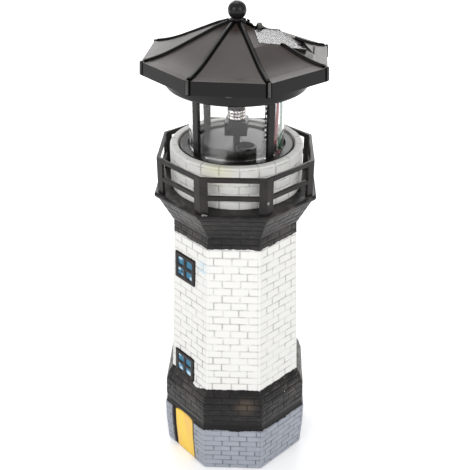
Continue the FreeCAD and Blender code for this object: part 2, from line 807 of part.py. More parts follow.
# ---------------------------------------------------------------- beacon and its drive
def toothed_wheel(name, teeth, phase, bore):
    """A spur wheel: each tooth tapers from the root circle to the tip circle."""
    module = number("tooth_module")
    pitch_radius = module * teeth / 2
    root, tip = pitch_radius - 1.2 * module, pitch_radius + 0.9 * module
    step = 360.0 / teeth
    share = number("tooth_share")
    outline = []
    for count in range(teeth):
        middle = phase + count * step
        for radius, offset in ((root, -share * 0.7), (tip, -share * 0.3), (tip, share * 0.3),
                               (root, share * 0.7)):
            angle = math.radians(middle + offset * step)
            outline.append(FreeCAD.Vector(radius * math.cos(angle), radius * math.sin(angle), 0))
    wheel = plan_extrusion(name + "_teeth", outline, "gear_height", "gear_thick")
    if not bore:
        return wheel
    hole = cylinder(name + "_bore", bore, "gear_height - overlap", "gear_thick + 2 * overlap")
    return cut(name, wheel, hole)


def motor_pinion():
    """The pinion on its armature shaft, with a gap between two teeth facing the wheel."""
    teeth = int(number("pinion_teeth"))
    wheel = toothed_wheel("pinion", teeth, 180.0 / teeth, None)
    stem = cylinder("armature_shaft", "motor_shaft_radius", "gear_height",
                    "motor_foot - gear_height + motor_shaft_length")
    pinion = fuse("motor_pinion_solid", wheel, stem)
    pinion.Placement.Base.x = -number("mesh_distance")
    return group("motor_pinion", [pinion])


def drive_motor():
    can = cylinder("motor_can", "motor_radius", "motor_foot", "motor_tall", "-mesh_distance")
    hole = cylinder("motor_bearing", "motor_shaft_radius + bearing_gap", "motor_foot - overlap",
                    "motor_shaft_length + overlap + bearing_gap", "-mesh_distance")
    return cut("drive_motor", can, hole)


def beacon_gear():
    return toothed_wheel("beacon_gear", int(number("gear_teeth")), 0.0, "shaft_radius")


def beacon_shaft():
    return group("beacon_shaft",
                 [cylinder("beacon_rod", "shaft_radius", "shaft_foot", "shaft_top_end - shaft_foot")])


def gear_pedestal():
    """Square cap, open below, on a slim sleeve round the beacon's shaft."""
    case = block("pedestal_case", "pedestal_wide", "pedestal_wide", "pedestal_tall",
                 "0", "0", "pedestal_foot")
    room = block("pedestal_room", "pedestal_wide - 2 * pedestal_wall",
                 "pedestal_wide - 2 * pedestal_wall", "pedestal_tall - pedestal_wall + overlap",
                 "0", "0", "pedestal_foot - overlap")
    cap = cut("pedestal_cap", case, room)
    sleeve = cylinder("pedestal_sleeve", "sleeve_radius", "floor_top",
                      "pedestal_rise + pedestal_tall - pedestal_wall / 2")
    bore = cylinder("pedestal_bore", "shaft_radius + bearing_gap", "floor_top - overlap",
                    "pedestal_rise + pedestal_tall + 2 * overlap")
    return cut("gear_pedestal", fuse("pedestal_body", cap, sleeve), bore)


def beacon_reflector():
    return turned("beacon_reflector", [
        ("shaft_radius", "reflector_foot"),
        ("reflector_radius", "reflector_foot"),
        ("reflector_radius", "reflector_foot + reflector_tall"),
        ("reflector_bore", "reflector_foot + reflector_tall"),
        ("reflector_bore", "reflector_foot + reflector_floor"),
        ("shaft_radius", "reflector_foot + reflector_floor")])


def led_holder():
    case = block("holder_case", "holder_wide", "holder_wide", "collar_bottom - holder_foot", "0", "0",
                 "holder_foot")
    bore = cylinder("holder_bore", "lamp_radius + bearing_gap", "holder_foot - overlap",
                    "lamp_seat + overlap")
    return cut("led_holder", case, bore)


def beacon_led():
    dome_height = "holder_foot - lamp_drop + lamp_radius"
    dome = lift(bind(doc.addObject("Part::Sphere", "lamp_dome"), Radius="lamp_radius"), dome_height)
    stem = cylinder("lamp_stem", "lamp_radius", dome_height, "lamp_drop - lamp_radius + lamp_seat")
    return fuse("beacon_led", dome, stem)


# ---------------------------------------------------------------- tube, columns and roof
def clear_cylinder():
    outside = cylinder("tube_outside", "tube_radius", "groove_floor", "tube_top - groove_floor")
    bore = cylinder("tube_bore", "tube_radius - tube_wall", "groove_floor - overlap",
                    "tube_top - groove_floor + 2 * overlap")
    return cut("clear_cylinder", outside, bore)


def column(number_of, azimuth):
    low = "flange_top - socket_deep"
    return group(f"column_{number_of}", [column_block(f"column_bar_{number_of}", azimuth, low,
                                                      f"collar_bottom + socket_deep - ({low})", "0")])


def roof_collar():
    """Round cup under the roof with the octagonal plate that closes the roof from below."""
    cup = turned("collar_cup", [
        ("0", "collar_bottom"),
        ("collar_radius", "collar_bottom"),
        ("collar_radius", "fascia_bottom + plate_thick"),
        ("collar_radius - collar_wall", "fascia_bottom + plate_thick"),
        ("collar_radius - collar_wall", "collar_bottom + collar_floor"),
        ("0", "collar_bottom + collar_floor")], rounds=[(1, "collar_round")])
    plate = octagon_stack("collar_plate", [("plate_radius", "fascia_bottom"),
                                           ("plate_radius", "fascia_bottom + plate_thick")])
    room = cylinder("collar_room", "collar_radius - collar_wall", "fascia_bottom - overlap",
                    "plate_thick + 2 * overlap")
    ring = cylinder("tube_seat_outside", "tube_radius + socket_gap", "collar_bottom - overlap",
                    "tube_top - collar_bottom + overlap")
    core = cylinder("tube_seat_inside", "tube_radius - tube_wall - socket_gap",
                    "collar_bottom - 2 * overlap",
                    "tube_top - collar_bottom + 4 * overlap")
    holes = [cut("tube_seat", ring, core)]
    for azimuth in COLUMN_AZIMUTHS:
        holes.append(column_block(f"collar_socket_{azimuth}", azimuth, "collar_bottom - overlap",
                                  "socket_deep + overlap", "socket_gap"))
    for azimuth in ROOF_SCREW_AZIMUTHS:
        x, y = spot_rule(azimuth, "roof_screw_orbit")
        holes.append(cylinder(f"plate_hole_{azimuth}", "screw_hole + glue_gap", "fascia_bottom - overlap",
                              "plate_thick + 2 * overlap", x, y))
    for wire in ("red", "green"):
        spot = WIRE_ROUTES[wire][-4]
        holes.append(cylinder(wire + "_collar_hole", wire + "_wire_radius + lead_gap",
                              "collar_bottom - overlap",
                              "collar_floor + 2 * overlap", repr(spot[0]), repr(spot[1])))
    solid = fuse("collar_solid", cup, cut("collar_ring", plate, room))
    return cut("roof_collar", solid, *holes)


ROOF_SCREW_AZIMUTHS = (0, 90, 180, 270)
ROOF_STEPS = [("eave_radius", "eave_height"), ("knee_radius", "knee_height"),
              ("brow_radius", "brow_height"),
              ("crown_radius", "crown_height"), ("tip_radius", "tip_height")]


def hip_height(radius):
    """Height of the roof's hip line at a radius, in numbers."""
    line = [(number("fascia_top_radius"), number("fascia_bottom + fascia_tall"))]
    line += [(number(r), number(z)) for r, z in ROOF_STEPS]
    for (far, low), (near, high) in zip(line, line[1:]):
        if near <= radius <= far:
            return low + (high - low) * (far - radius) / (far - near)
    return line[-1][1]


def hip_rib(count):
    """A raised bar along one hip, from near the tip to the eave."""
    proud = number("rib_proud")
    between = [number(radius) for radius, height in ROOF_STEPS[:-1]]
    radii = [number("rib_end")] + between + [number("rib_start")]
    top = [FreeCAD.Vector(radius, 0, hip_height(radius) + proud) for radius in radii]
    low = [FreeCAD.Vector(radius, 0, hip_height(radius) - number("overlap")) for radius in reversed(radii)]
    outline = doc.addObject("Part::Polygon", f"rib_outline_{count}")
    outline.Nodes = top + low
    outline.Close = True
    rib = doc.addObject("Part::Extrusion", f"rib_{count}")
    rib.Base = outline
    rib.DirMode = "Custom"
    rib.Dir = FreeCAD.Vector(0, 1, 0)
    rib.Solid = True
    rib.Symmetric = True
    bind(rib, LengthFwd="rib_wide")
    return seat(rib, turn_z(CORNER + count * 2 * CORNER - 90))


def panel_place():
    """Frame of the panel's top face: X outwards and down the slope, Y round the roof, Z off the face."""
    slope = FreeCAD.Rotation(FreeCAD.Vector(0, 1, 0), number("panel_slope"))
    height = FreeCAD.Placement(FreeCAD.Vector(0, 0, number("panel_height")), FreeCAD.Rotation())
    turn = turn_z(number("panel_azimuth") - 90)
    return height.multiply(turn).multiply(FreeCAD.Placement(FreeCAD.Vector(), slope))


def panel_block(name, near, long, wide, low, tall):
    """A box in the panel's frame, centred across it."""
    item = bind(doc.addObject("Part::Box", name), Length=long, Width=wide, Height=tall)
    corner = FreeCAD.Vector(number(near), -number(wide) / 2, number(low))
    return seat(item, panel_place().multiply(FreeCAD.Placement(corner, FreeCAD.Rotation())))


def sensor_place():
    """Frame of the light sensor, on the hip beside the far edge of the pocket."""
    along, across = number("sensor_along"), number("sensor_across")
    azimuth = number("panel_azimuth") + math.degrees(math.atan2(across, along))
    radius = math.hypot(along, across)
    return FreeCAD.Placement(around(azimuth, radius, hip_height(radius)), FreeCAD.Rotation())


def roof_shell():
    """Octagonal shell with hip ribs, screw bosses and the pocket of the solar panel."""
    fascia = [("fascia_radius", "fascia_bottom"), ("fascia_top_radius", "fascia_bottom + fascia_tall")]
    outside = octagon_stack("roof_outside", fascia + ROOF_STEPS)
    hollow = octagon_stack("roof_hollow", [
        ("fascia_radius - roof_wall", "fascia_bottom - overlap"),
        ("fascia_top_radius - roof_wall", "fascia_bottom + fascia_tall - roof_wall")]
        + [(f"{radius} - roof_wall", f"{height} - roof_wall") for radius, height in ROOF_STEPS[:-1]]
        + [("tip_radius / 2", "tip_height - 2 * roof_wall")])
    shell = cut("roof_skin", outside, hollow)
    walls = panel_block("pocket_walls", "pocket_near - tray_wall", "pocket_length + 2 * tray_wall",
                        "pocket_wide + 2 * tray_wall", "-pocket_deep - pocket_floor_thick",
                        "roof_above_panel")
    clipped = doc.addObject("Part::Common", "pocket_walls_in_roof")
    clipped.Base = walls
    clipped.Tool = outside
    rim = panel_block("pocket_rim", "pocket_near - tray_wall",
                      "panel_near - pocket_near + panel_length + 2 * tray_wall",
                      "pocket_wide + 2 * tray_wall",
                      "-pocket_deep - pocket_floor_thick", "pocket_deep + pocket_floor_thick + tray_rim")
    ribs = [hip_rib(count) for count in range(SIDES)]
    bosses, holes = [], []
    for azimuth in ROOF_SCREW_AZIMUTHS:
        x, y = spot_rule(azimuth, "roof_screw_orbit")
        bosses.append(cylinder(f"roof_boss_{azimuth}", "roof_boss_radius", "fascia_bottom + plate_thick",
                               "eave_height - overlap - fascia_bottom - plate_thick", x, y))
        holes.append(cylinder(f"roof_boss_hole_{azimuth}", "screw_hole", "fascia_bottom",
                              "plate_thick + roof_screw_length", x, y))
    holes.append(panel_block("pocket", "pocket_near", "pocket_length", "pocket_wide", "-pocket_deep",
                             "roof_above_panel"))
    holes.append(cylinder("finial_hole", "finial_peg + glue_gap", "tip_height - finial_peg_deep",
                          "finial_peg_deep + overlap"))
    sensor_hole = bind(doc.addObject("Part::Cylinder", "sensor_hole"), Radius="sensor_radius + glue_gap",
                       Height="sensor_radius + overlap")
    low = FreeCAD.Placement(FreeCAD.Vector(0, 0, -number("sensor_sink")), FreeCAD.Rotation())
    holes.append(seat(sensor_hole, sensor_place().multiply(low)))
    for wire in ("red", "green"):
        start = WIRE_ROUTES[wire][0]
        holes.append(cylinder(wire + "_lead_hole", wire + "_wire_radius + lead_gap",
                              f"{start[2]} - lead_reach",
                              "2 * lead_reach", repr(start[0]), repr(start[1])))
    return cut("roof_shell", fuse("roof_solid", shell, clipped, rim, *ribs, *bosses), *holes)


def finial():
    """Ball on a neck, with a peg in the tip of the roof."""
    ball = lift(bind(doc.addObject("Part::Sphere", "finial_ball_solid"), Radius="finial_ball"),
                "finial_height")
    neck = cylinder("finial_neck_solid", "finial_neck", "tip_height", "finial_height - tip_height")
    peg = cylinder("finial_peg_solid", "finial_peg", "tip_height - finial_peg_deep + glue_gap",
                   "finial_peg_deep + overlap")
    return fuse("finial", ball, neck, peg)


def solar_panel():
    plate = panel_block("panel_board_plate", "panel_near", "panel_length", "panel_wide",
                        "-panel_glaze_thick - panel_board", "panel_board")
    return group("solar_panel", [plate])


def panel_glaze():
    plate = panel_block("panel_glaze_plate", "panel_near", "panel_length", "panel_wide",
                        "-panel_glaze_thick", "panel_glaze_thick")
    return group("panel_glaze", [plate])


def light_sensor():
    """A short round foot with a domed top."""
    foot = bind(doc.addObject("Part::Cylinder", "sensor_foot"), Radius="sensor_radius",
                Height="sensor_foot_tall")
    dome = bind(doc.addObject("Part::Sphere", "sensor_dome"), Radius="sensor_radius")
    dome.Angle1 = 0
    lift(foot, "-sensor_sink")
    lift(dome, "sensor_foot_tall - sensor_sink")
    lens = fuse("sensor_lens", foot, dome)
    return group("light_sensor", [seat(lens, sensor_place())])


def roof_screws():
    return group("roof_screws", [
        headed_screw(f"roof_screw_{azimuth}", azimuth, "roof_screw_orbit",
                     "fascia_bottom - screw_head_tall",
                     "screw_hole - shank_gap", "plate_thick + roof_screw_length - overlap")
        for azimuth in ROOF_SCREW_AZIMUTHS])


# ---------------------------------------------------------------- wires
def lead_start(along, across):
    """A point on the back of the panel."""
    back = FreeCAD.Vector(along, across, -number("pocket_deep + lead_end_gap"))
    return tuple(panel_place().multVec(back))


WIRE_ROUTES = {}


def wire_routes():
    """Route of each lead: panel, two bends in the roof, collar hole, beside the tube, floor hole, board."""
    board_top = number("board_height + board_thick")
    roof = number("fascia_bottom + lead_roof_rise")
    over_collar = number("collar_bottom + lead_collar_rise")
    collar = number("collar_bottom")
    floor = number("floor_top")
    panel = {}
    for wire in ("red", "green"):
        panel[wire] = lead_start(number("lead_along"), number(wire + "_lead_across"))
    WIRE_ROUTES["red"] = [
        panel["red"], (panel["red"][0], panel["red"][1], roof), (28.1, 2.6, over_collar),
        (28.1, 2.6, collar), (27.9, 2.5, floor + number("red_middle_rise")),
        (26.8, 2.4, floor), (26.8, 2.4, board_top)]
    WIRE_ROUTES["green"] = [
        panel["green"], (panel["green"][0], panel["green"][1], roof), (29.4, -2.8, over_collar),
        (29.4, -2.8, collar), (30.4, -2.9, floor + number("green_middle_rise")),
        (29.6, -2.6, floor), (29.6, -2.6, board_top)]


def lead(name):
    """A round wire along its route: straight runs joined by tangent arcs."""
    points = [FreeCAD.Vector(*point) for point in WIRE_ROUTES[name]]
    edges = []
    start = points[0]
    for before, corner, after in zip(points, points[1:], points[2:]):
        back, ahead = (before - corner).normalize(), (after - corner).normalize()
        half_turn = (math.pi - back.getAngle(ahead)) / 2
        if half_turn < 1e-3:
            continue
        reach = number("wire_share") * min(before.distanceToPoint(corner), after.distanceToPoint(corner))
        radius = reach / math.tan(half_turn)
        sag = radius * (1 / math.cos(half_turn) - 1)
        first, last = corner + back * reach, corner + ahead * reach
        middle = corner + (back + ahead).normalize() * sag
        edges.append(Part.LineSegment(start, first).toShape())
        edges.append(Part.Arc(first, middle, last).toShape())
        start = last
        print(f"{name} wire: bend radius {radius:.1f} mm")
    edges.append(Part.LineSegment(start, points[-1]).toShape())
    path = Part.Wire(edges)
    radius = number(name + "_wire_radius")
    section = Part.Wire([Part.Circle(points[0], points[1] - points[0], radius).toShape()])
    item = doc.addObject("Part::Feature", name + "_wire")
    item.Shape = path.makePipeShell([section], True, False)
    expected = math.pi * radius ** 2 * path.Length
    share = item.Shape.Volume / expected
    print(f"{name} wire: length {path.Length:.1f} mm, volume {share:.4f} of section x length")
    return item


# ---------------------------------------------------------------- the assembly
wire_routes()
TOWER = [tower_casting(), railing_posts(), railing_bars("railing_top_rail", "rail_top"),
         railing_bars("railing_mid_rail", "mid_rail_top")]
LANTERN = [lantern_base(), boss_screw(), base_cover(), battery_cover(), base_screws(), battery(),
           battery_contacts(), circuit_board(), switch_body(), switch_slider(), drive_motor(),
           motor_pinion(),
           beacon_gear(), beacon_shaft(), beacon_reflector(), gear_pedestal(), led_holder(), beacon_led(),
           clear_cylinder(), roof_collar(), roof_shell(), finial(), solar_panel(), panel_glaze(),
           light_sensor(), roof_screws(), lead("red"), lead("green")]
LANTERN += [column(count, azimuth) for count, azimuth in enumerate(COLUMN_AZIMUTHS, 1)]
for piece in LANTERN:
    piece.Placement = turn_z(1)
    piece.setExpression(".Placement.Rotation.Angle", formula("lantern_turn * 1deg"))
doc.recompute()

for item in doc.Objects:
    if "Invalid" in item.State or "Error" in item.State:
        raise RuntimeError(f"{item.Name} did not build: {item.State}")
os.makedirs("parts", exist_ok=True)
for piece in TOWER + LANTERN:
    shape = piece.Shape
    if shape.isNull() or not shape.isValid() or not shape.Solids:
        raise RuntimeError(f"{piece.Label} has no valid solid")
    shape.exportStep(f"parts/{piece.Label}.step")
    box = shape.optimalBoundingBox(True, False)
    heights = f"z {box.ZMin:.1f} to {box.ZMax:.1f}"
    print(f"{piece.Label}: {len(shape.Solids)} solids, {shape.Volume:.1f} mm3, {heights}")
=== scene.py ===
# %% [markdown]
# # Dressing a garden lighthouse
# The object is a hollow cast-resin tower, painted by hand, with a clear solar lantern of moulded
# plastic standing in its top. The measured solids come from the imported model. This script gives
# them their surfaces: brickwork, brush paint, satin and glossy plastic, clear acrylic and metal.

# %% Load the measured model
import math
import bpy
import bmesh
import numpy as np
from mathutils import Matrix, Vector


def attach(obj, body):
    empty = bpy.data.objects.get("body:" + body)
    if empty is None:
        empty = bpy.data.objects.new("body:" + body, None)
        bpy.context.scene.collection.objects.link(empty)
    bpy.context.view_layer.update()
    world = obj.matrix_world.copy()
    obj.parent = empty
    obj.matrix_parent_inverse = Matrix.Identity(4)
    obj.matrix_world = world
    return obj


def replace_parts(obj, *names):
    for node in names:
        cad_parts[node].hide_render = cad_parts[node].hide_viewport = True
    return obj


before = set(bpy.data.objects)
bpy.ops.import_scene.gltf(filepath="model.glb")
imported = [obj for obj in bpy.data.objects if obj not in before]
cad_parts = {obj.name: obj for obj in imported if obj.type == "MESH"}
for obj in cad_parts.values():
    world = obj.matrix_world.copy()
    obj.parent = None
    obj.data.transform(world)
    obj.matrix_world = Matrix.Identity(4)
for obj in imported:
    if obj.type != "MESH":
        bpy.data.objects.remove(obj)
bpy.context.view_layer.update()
MM = 0.001
SIDES = 8
HALF = math.pi / SIDES

# %% [markdown]
# ## The camera
# The photograph looks down at the lighthouse from about 31 degrees, with a short telephoto lens.
# The values were found by fitting the object's corners, so they are a place, an aim and a lens.

# %% Camera
CAMERA_TURN = math.radians(2.018)
CAMERA_DOWN = math.radians(31.009)
CAMERA_ROLL = math.radians(0.262)
CAMERA_AWAY = 0.56293
AIM_HEIGHT = 0.180
FOCAL_PIXELS = 749.1
IMAGE_PIXELS = 470
AXIS_PIXEL = (236.1, 244.0)

lens = bpy.data.cameras.new("camera")
lens.sensor_width = 36.0
lens.lens = FOCAL_PIXELS / IMAGE_PIXELS * lens.sensor_width
lens.shift_x = 0.5 - AXIS_PIXEL[0] / IMAGE_PIXELS
lens.shift_y = AXIS_PIXEL[1] / IMAGE_PIXELS - 0.5
camera = bpy.data.objects.new("camera", lens)
bpy.context.scene.collection.objects.link(camera)
aim = Matrix.Rotation(CAMERA_TURN, 4, "Z") @ Matrix.Rotation(math.pi / 2 - CAMERA_DOWN, 4, "X")
back_off = Matrix.Translation((0, 0, CAMERA_AWAY)) @ Matrix.Rotation(CAMERA_ROLL, 4, "Z")
camera.matrix_world = Matrix.Translation((0, 0, AIM_HEIGHT)) @ aim @ back_off
bpy.context.scene.camera = camera
print("camera at", [round(value, 4) for value in camera.matrix_world.translation])

# %% [markdown]
# ## Tools for finishes
# A finish is a Principled shader with its even values set on its own sockets, and nodes for what
# varies. `new_finish` starts one, and every `step` after it adds a node to that finish and gives its
# output, which can be added and multiplied, so a finish reads as a recipe.

# %% Node recipes
finishes = []


class Value:
    """What a node gives out: plus, minus and times add Math nodes to the finish being made."""

    def __init__(self, socket):
        self.socket = socket

    def __add__(self, other):
        return sums("ADD", self, other)

    def __sub__(self, other):
        return sums("SUBTRACT", self, other)

    def __rsub__(self, other):
        return sums("SUBTRACT", other, self)

    def __mul__(self, other):
        return sums("MULTIPLY", self, other)


def fill(socket, value):
    """Joins a Value to a socket, or sets a plain value on it."""
    if isinstance(value, Value):
        finishes[-1].node_tree.links.new(value.socket, socket)
    else:
        socket.default_value = value


def plug(**sockets):
    """Fills sockets of the finish's shader, with _ for a space in their names, and gives the finish."""
    shader = finishes[-1].node_tree.nodes["Principled BSDF"]
    for socket, value in sockets.items():
        fill(shader.inputs[socket.replace("_", " ")], value)
    return finishes[-1]


def new_finish(name, **sockets):
    """Starts a node material with the given values on its shader."""
    finishes.append(bpy.data.materials.new(name))
    finishes[-1].use_nodes = True
    return plug(**sockets)


def step(kind, inputs=None, out=0, **options):
    """Adds a node. inputs: socket name or number -> a plain value or a Value. out: the output to give,
    by name or number, or a tuple of them."""
    node = finishes[-1].node_tree.nodes.new("ShaderNode" + kind)
    for option, value in options.items():
        setattr(node, option, value)
    for socket, value in (inputs or {}).items():
        fill(node.inputs[socket], value)
    if isinstance(out, tuple):
        return [Value(node.outputs[name]) for name in out]
    return Value(node.outputs[out])


def place():
    """Object coordinates, in metres."""
    return step("TexCoord", out="Object")


def attribute(name):
    """A value that the mesh carries at each point."""
    return step("Attribute", out="Fac", attribute_name=name)


def noise(per_metre, detail=3.0, rough=0.55, stretch=None):
    """Noise from 0 to 1 with so many lumps to the metre, stretched along an axis where asked."""
    spot = place()
    if stretch:
        spot = step("Mapping", {"Vector": spot, "Scale": stretch})
    inputs = {"Vector": spot, "Scale": per_metre, "Detail": detail, "Roughness": rough}
    return step("TexNoise", inputs, "Fac")


def sums(kind, first, second=0.0, third=0.0):
    """One step of arithmetic."""
    return step("Math", {0: first, 1: second, 2: third}, operation=kind)


def between(value, low, high, out_low=0.0, out_high=1.0):
    """Remaps value from low..high to out_low..out_high, eased and held at the ends."""
    inputs = {"Value": value, "From Min": low, "From Max": high, "To Min": out_low, "To Max": out_high}
    return step("MapRange", inputs, interpolation_type="SMOOTHSTEP")


def mixed(share, first, second):
    """Colour between first and second; each is a colour or a Value."""
    first, second = (end if isinstance(end, Value) else (*end, 1) for end in (first, second))
    return step("Mix", {0: share, 6: first, 7: second}, 2, data_type="RGBA")


def bumped(height, distance, strength=1.0, under=None):
    """A bump of so many metres from a height of 0 to 1, on another bump where given."""
    inputs = {"Height": height, "Distance": distance, "Strength": strength}
    if under:
        inputs["Normal"] = under
    return step("Bump", inputs)


def near_spot(spot, reach, flat=(1, 1, 1)):
    """1 at a spot, falling to 0 at reach metres, with an axis flattened where asked."""
    centred = step("VectorMath", {0: place(), 1: spot}, operation="SUBTRACT")
    scaled = step("VectorMath", {0: centred, 1: flat}, operation="MULTIPLY")
    return between(step("VectorMath", {0: scaled}, "Value", operation="LENGTH"), 0.0, reach, 1.0, 0.0)

# %% [markdown]
# ## Floor and light
# The product was shot in a white tent: light from all round, with soft boxes over and behind it that
# put the grey sheen on the roof. A bright even world does most of it, and a few large lamps do the
# sheen, helped by a warm grey painted sheen in the roof's colour. Studio paper is lit by itself so that
# it stays white to its far edge: here it glows, more with distance. The plain "Standard" view keeps
# white paint as white as it was shot.

# %% Floor and lights
FLOOR_REACH = 40.0
bpy.context.scene.view_settings.view_transform = "Standard"
floor_mesh = bpy.data.meshes.new("floor")
floor_mesh.from_pydata([(-FLOOR_REACH, -FLOOR_REACH, 0), (FLOOR_REACH, -FLOOR_REACH, 0),
                        (FLOOR_REACH, FLOOR_REACH, 0), (-FLOOR_REACH, FLOOR_REACH, 0)], [], [(0, 1, 2, 3)])
floor = bpy.data.objects.new("floor", floor_mesh)
bpy.context.scene.collection.objects.link(floor)
NEAR_GLOW, FAR_GLOW = 0.24, 0.60
GLOW_STARTS, GLOW_ENDS = 0.3, 1.2
paper = new_finish("paper_sweep", Base_Color=(0.90, 0.90, 0.90, 1), Roughness=0.9, Specular_IOR_Level=0.1,
                   Emission_Color=(1.0, 1.0, 1.0, 1))
reach = step("VectorMath", {0: place()}, "Value", operation="LENGTH")
plug(Emission_Strength=step("MapRange", {"Value": reach, "From Min": GLOW_STARTS, "From Max": GLOW_ENDS,
                                         "To Min": NEAR_GLOW, "To Max": FAR_GLOW}))
floor_mesh.materials.append(paper)
world = bpy.data.worlds.new("tent")
bpy.context.scene.world = world
world.use_nodes = True
tent = world.node_tree.nodes["Background"]
tent.inputs["Color"].default_value = (1.0, 1.0, 1.0, 1)
tent.inputs["Strength"].default_value = 0.56


def soft_lamp(name, place, size, watts):
    """A square area lamp at place, looking at the middle of the tower."""
    lamp = bpy.data.lights.new(name, "AREA")
    lamp.size = size
    lamp.energy = watts
    holder = bpy.data.objects.new(name, lamp)
    bpy.context.scene.collection.objects.link(holder)
    look = Vector((0, 0, AIM_HEIGHT)) - Vector(place)
    holder.matrix_world = Matrix.Translation(place) @ look.to_track_quat("-Z", "Y").to_matrix().to_4x4()
    return holder


soft_lamp("front_left", (-0.85, -0.95, 0.85), 0.75, 5.8)
soft_lamp("front_right", (0.85, -0.95, 0.85), 0.75, 5.0)
soft_lamp("over", (-0.16, 0.45, 1.5), 0.86, 5.0)
soft_lamp("behind", (0.15, 1.15, 0.84), 0.6, 4.0)
soft_lamp("behind_left", (-0.47, 1.05, 0.80), 0.45, 2.6)

# %% [markdown]
# ## Tools for surfaces
# Every new piece is a grid of points worked out with numpy. `smooth_noise` gives the same gentle
# wander at every run, `add_piece` turns one or more grids into one mesh and lets it ride on a body.

# %% Noise and meshes


def smooth_noise(points, size, seed=0.0):
    """Values from -1 to 1 on points. Formula: each corner of a lattice with cells of the given size
    gets the fractional part of a large sine of its place, blended by cubic easing between corners."""
    spot = np.asarray(points) / size + seed * 7.31
    cell = np.floor(spot)
    ease = spot - cell
    ease = ease * ease * (3 - 2 * ease)
    total = np.zeros(spot.shape[:-1])
    for corner in range(8):
        step = np.array([corner & 1, corner >> 1 & 1, corner >> 2 & 1])
        wave = np.sin((cell + step) @ np.array([127.1, 311.7, 74.7]) + seed) * 43758.5453
        weight = np.prod(np.where(step == 1, ease, 1 - ease), axis=-1)
        total += weight * (wave - np.floor(wave))
    return total * 2 - 1


def grid_faces(rows, columns, wrap_rows=False, wrap_columns=False):
    """Quads of a grid whose points are numbered row by row, columns to the right and rows up."""
    row = np.arange(rows if wrap_rows else rows - 1)[:, None]
    column = np.arange(columns if wrap_columns else columns - 1)[None, :]
    above, right = (row + 1) % rows, (column + 1) % columns
    row, above = row * columns, above * columns
    corners = [row + column, row + right, above + right, above + column]
    return np.stack(np.broadcast_arrays(*corners), -1).reshape(-1, 4)


def around(radius, angle, height):
    """Points round the upright axis. Formula: (r sin a, -r cos a, z)."""
    x, y = radius * np.sin(angle), -radius * np.cos(angle)
    return np.stack([x, y, height + 0 * x], -1)


def add_piece(name, body, patches, look, attributes=None, smooth=True):
    """One mesh from patches of (points, faces), riding on a body. attributes: name -> value per point."""
    points = np.concatenate([np.asarray(spot, float).reshape(-1, 3) for spot, faces in patches])
    starts = np.cumsum([0] + [np.asarray(spot).size // 3 for spot, faces in patches])
    faces = np.concatenate([face + start for (spot, face), start in zip(patches, starts)])
    mesh = bpy.data.meshes.new(name)
    mesh.vertices.add(len(points))
    mesh.vertices.foreach_set("co", points.astype(np.float32).ravel())
    mesh.loops.add(faces.size)
    mesh.loops.foreach_set("vertex_index", faces.astype(np.int32).ravel())
    mesh.polygons.add(len(faces))
    mesh.polygons.foreach_set("loop_start", np.arange(0, faces.size, faces.shape[1], dtype=np.int32))
    mesh.polygons.foreach_set("use_smooth", np.full(len(faces), smooth))
    for label, values in (attributes or {}).items():
        layer = mesh.attributes.new(label, "FLOAT", "POINT")
        layer.data.foreach_set("value", np.asarray(values, np.float32).ravel())
    mesh.update(calc_edges=True)
    mesh.validate()
    mesh.materials.append(look)
    piece = bpy.data.objects.new(name, mesh)
    bpy.context.scene.collection.objects.link(piece)
    print(f"{name}: {len(points)} points, {len(faces)} faces")
    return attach(piece, body)


# %% [markdown]
# ## Brush paint on the casting
# The resin is painted by hand in three bands: blue-grey foot, black, white shaft, black gallery.
# Each edge wanders because it was cut in with a brush, thin dark wash stays in the mortar lines,
# and the paint shows faint strokes. One recipe covers all, driven by the height of the point and
# by the `joint` attribute that the brick surfaces carry, so the bands meet the same on every side.

# %% Tower paint
PLINTH_EDGE = 0.0428
SKIRT_EDGE = 0.0790
NECK_EDGE = 0.2015
GREY_BLUE = (0.345, 0.37, 0.42)
BLACK = (0.0115, 0.011, 0.0115)
WHITE = (0.800, 0.795, 0.770)
WASH = (0.20, 0.195, 0.185)
STAIN_SPOT = (-0.011, -0.045, 0.2625)
SMEAR_SPOT = (-0.0225, -0.0415, 0.1820)
BROWN_SPOT = (0.0102, -0.0545, 0.0670)
DIP_SPOT = (-0.0300, -0.0440, 0.0800)
FOOT_BAND = 0.0515
EDGE_SOFT = 0.0002
WET_SOFT = 0.0012


def specks(per_metre, radius, keep=1.0):
    """Round specks: one to a cell, of radius metres, each there with the chance keep."""
    cells = {"Vector": place(), "Scale": per_metre, "Randomness": 1.0}
    distance, colour = step("TexVoronoi", cells, ("Distance", "Color"))
    dot = between(distance, radius * per_metre * 0.7, radius * per_metre, 1.0, 0.0)
    return dot * sums("LESS_THAN", step("SeparateColor", {0: colour}), keep)


def white_paint(joint):
    """Warm white with stains, and a thin dark wash, worn through in places, in the mortar lines."""
    white = mixed(between(noise(28.0, 2.0, 0.5), 0.55, 0.8) * 0.25, WHITE, (0.83, 0.80, 0.72))
    white = mixed(noise(75.0, 4.0, 0.6) * 0.16, white, (0.76, 0.76, 0.75))
    white = mixed(joint * between(noise(110.0), 0.38, 0.62, 0.18, 0.80), white, WASH)
    white = mixed(near_spot(STAIN_SPOT, 0.017) * noise(160.0) * 0.75, white, (0.78, 0.75, 0.36))
    streak = between(noise(260.0, 2.0, 0.5, stretch=(0.3, 0.3, 1.0)), 0.35, 0.6)
    return mixed(near_spot(SMEAR_SPOT, 0.0125, (1.6, 1.6, 1.0)) * streak * 0.8, white, (0.45, 0.66, 0.80))


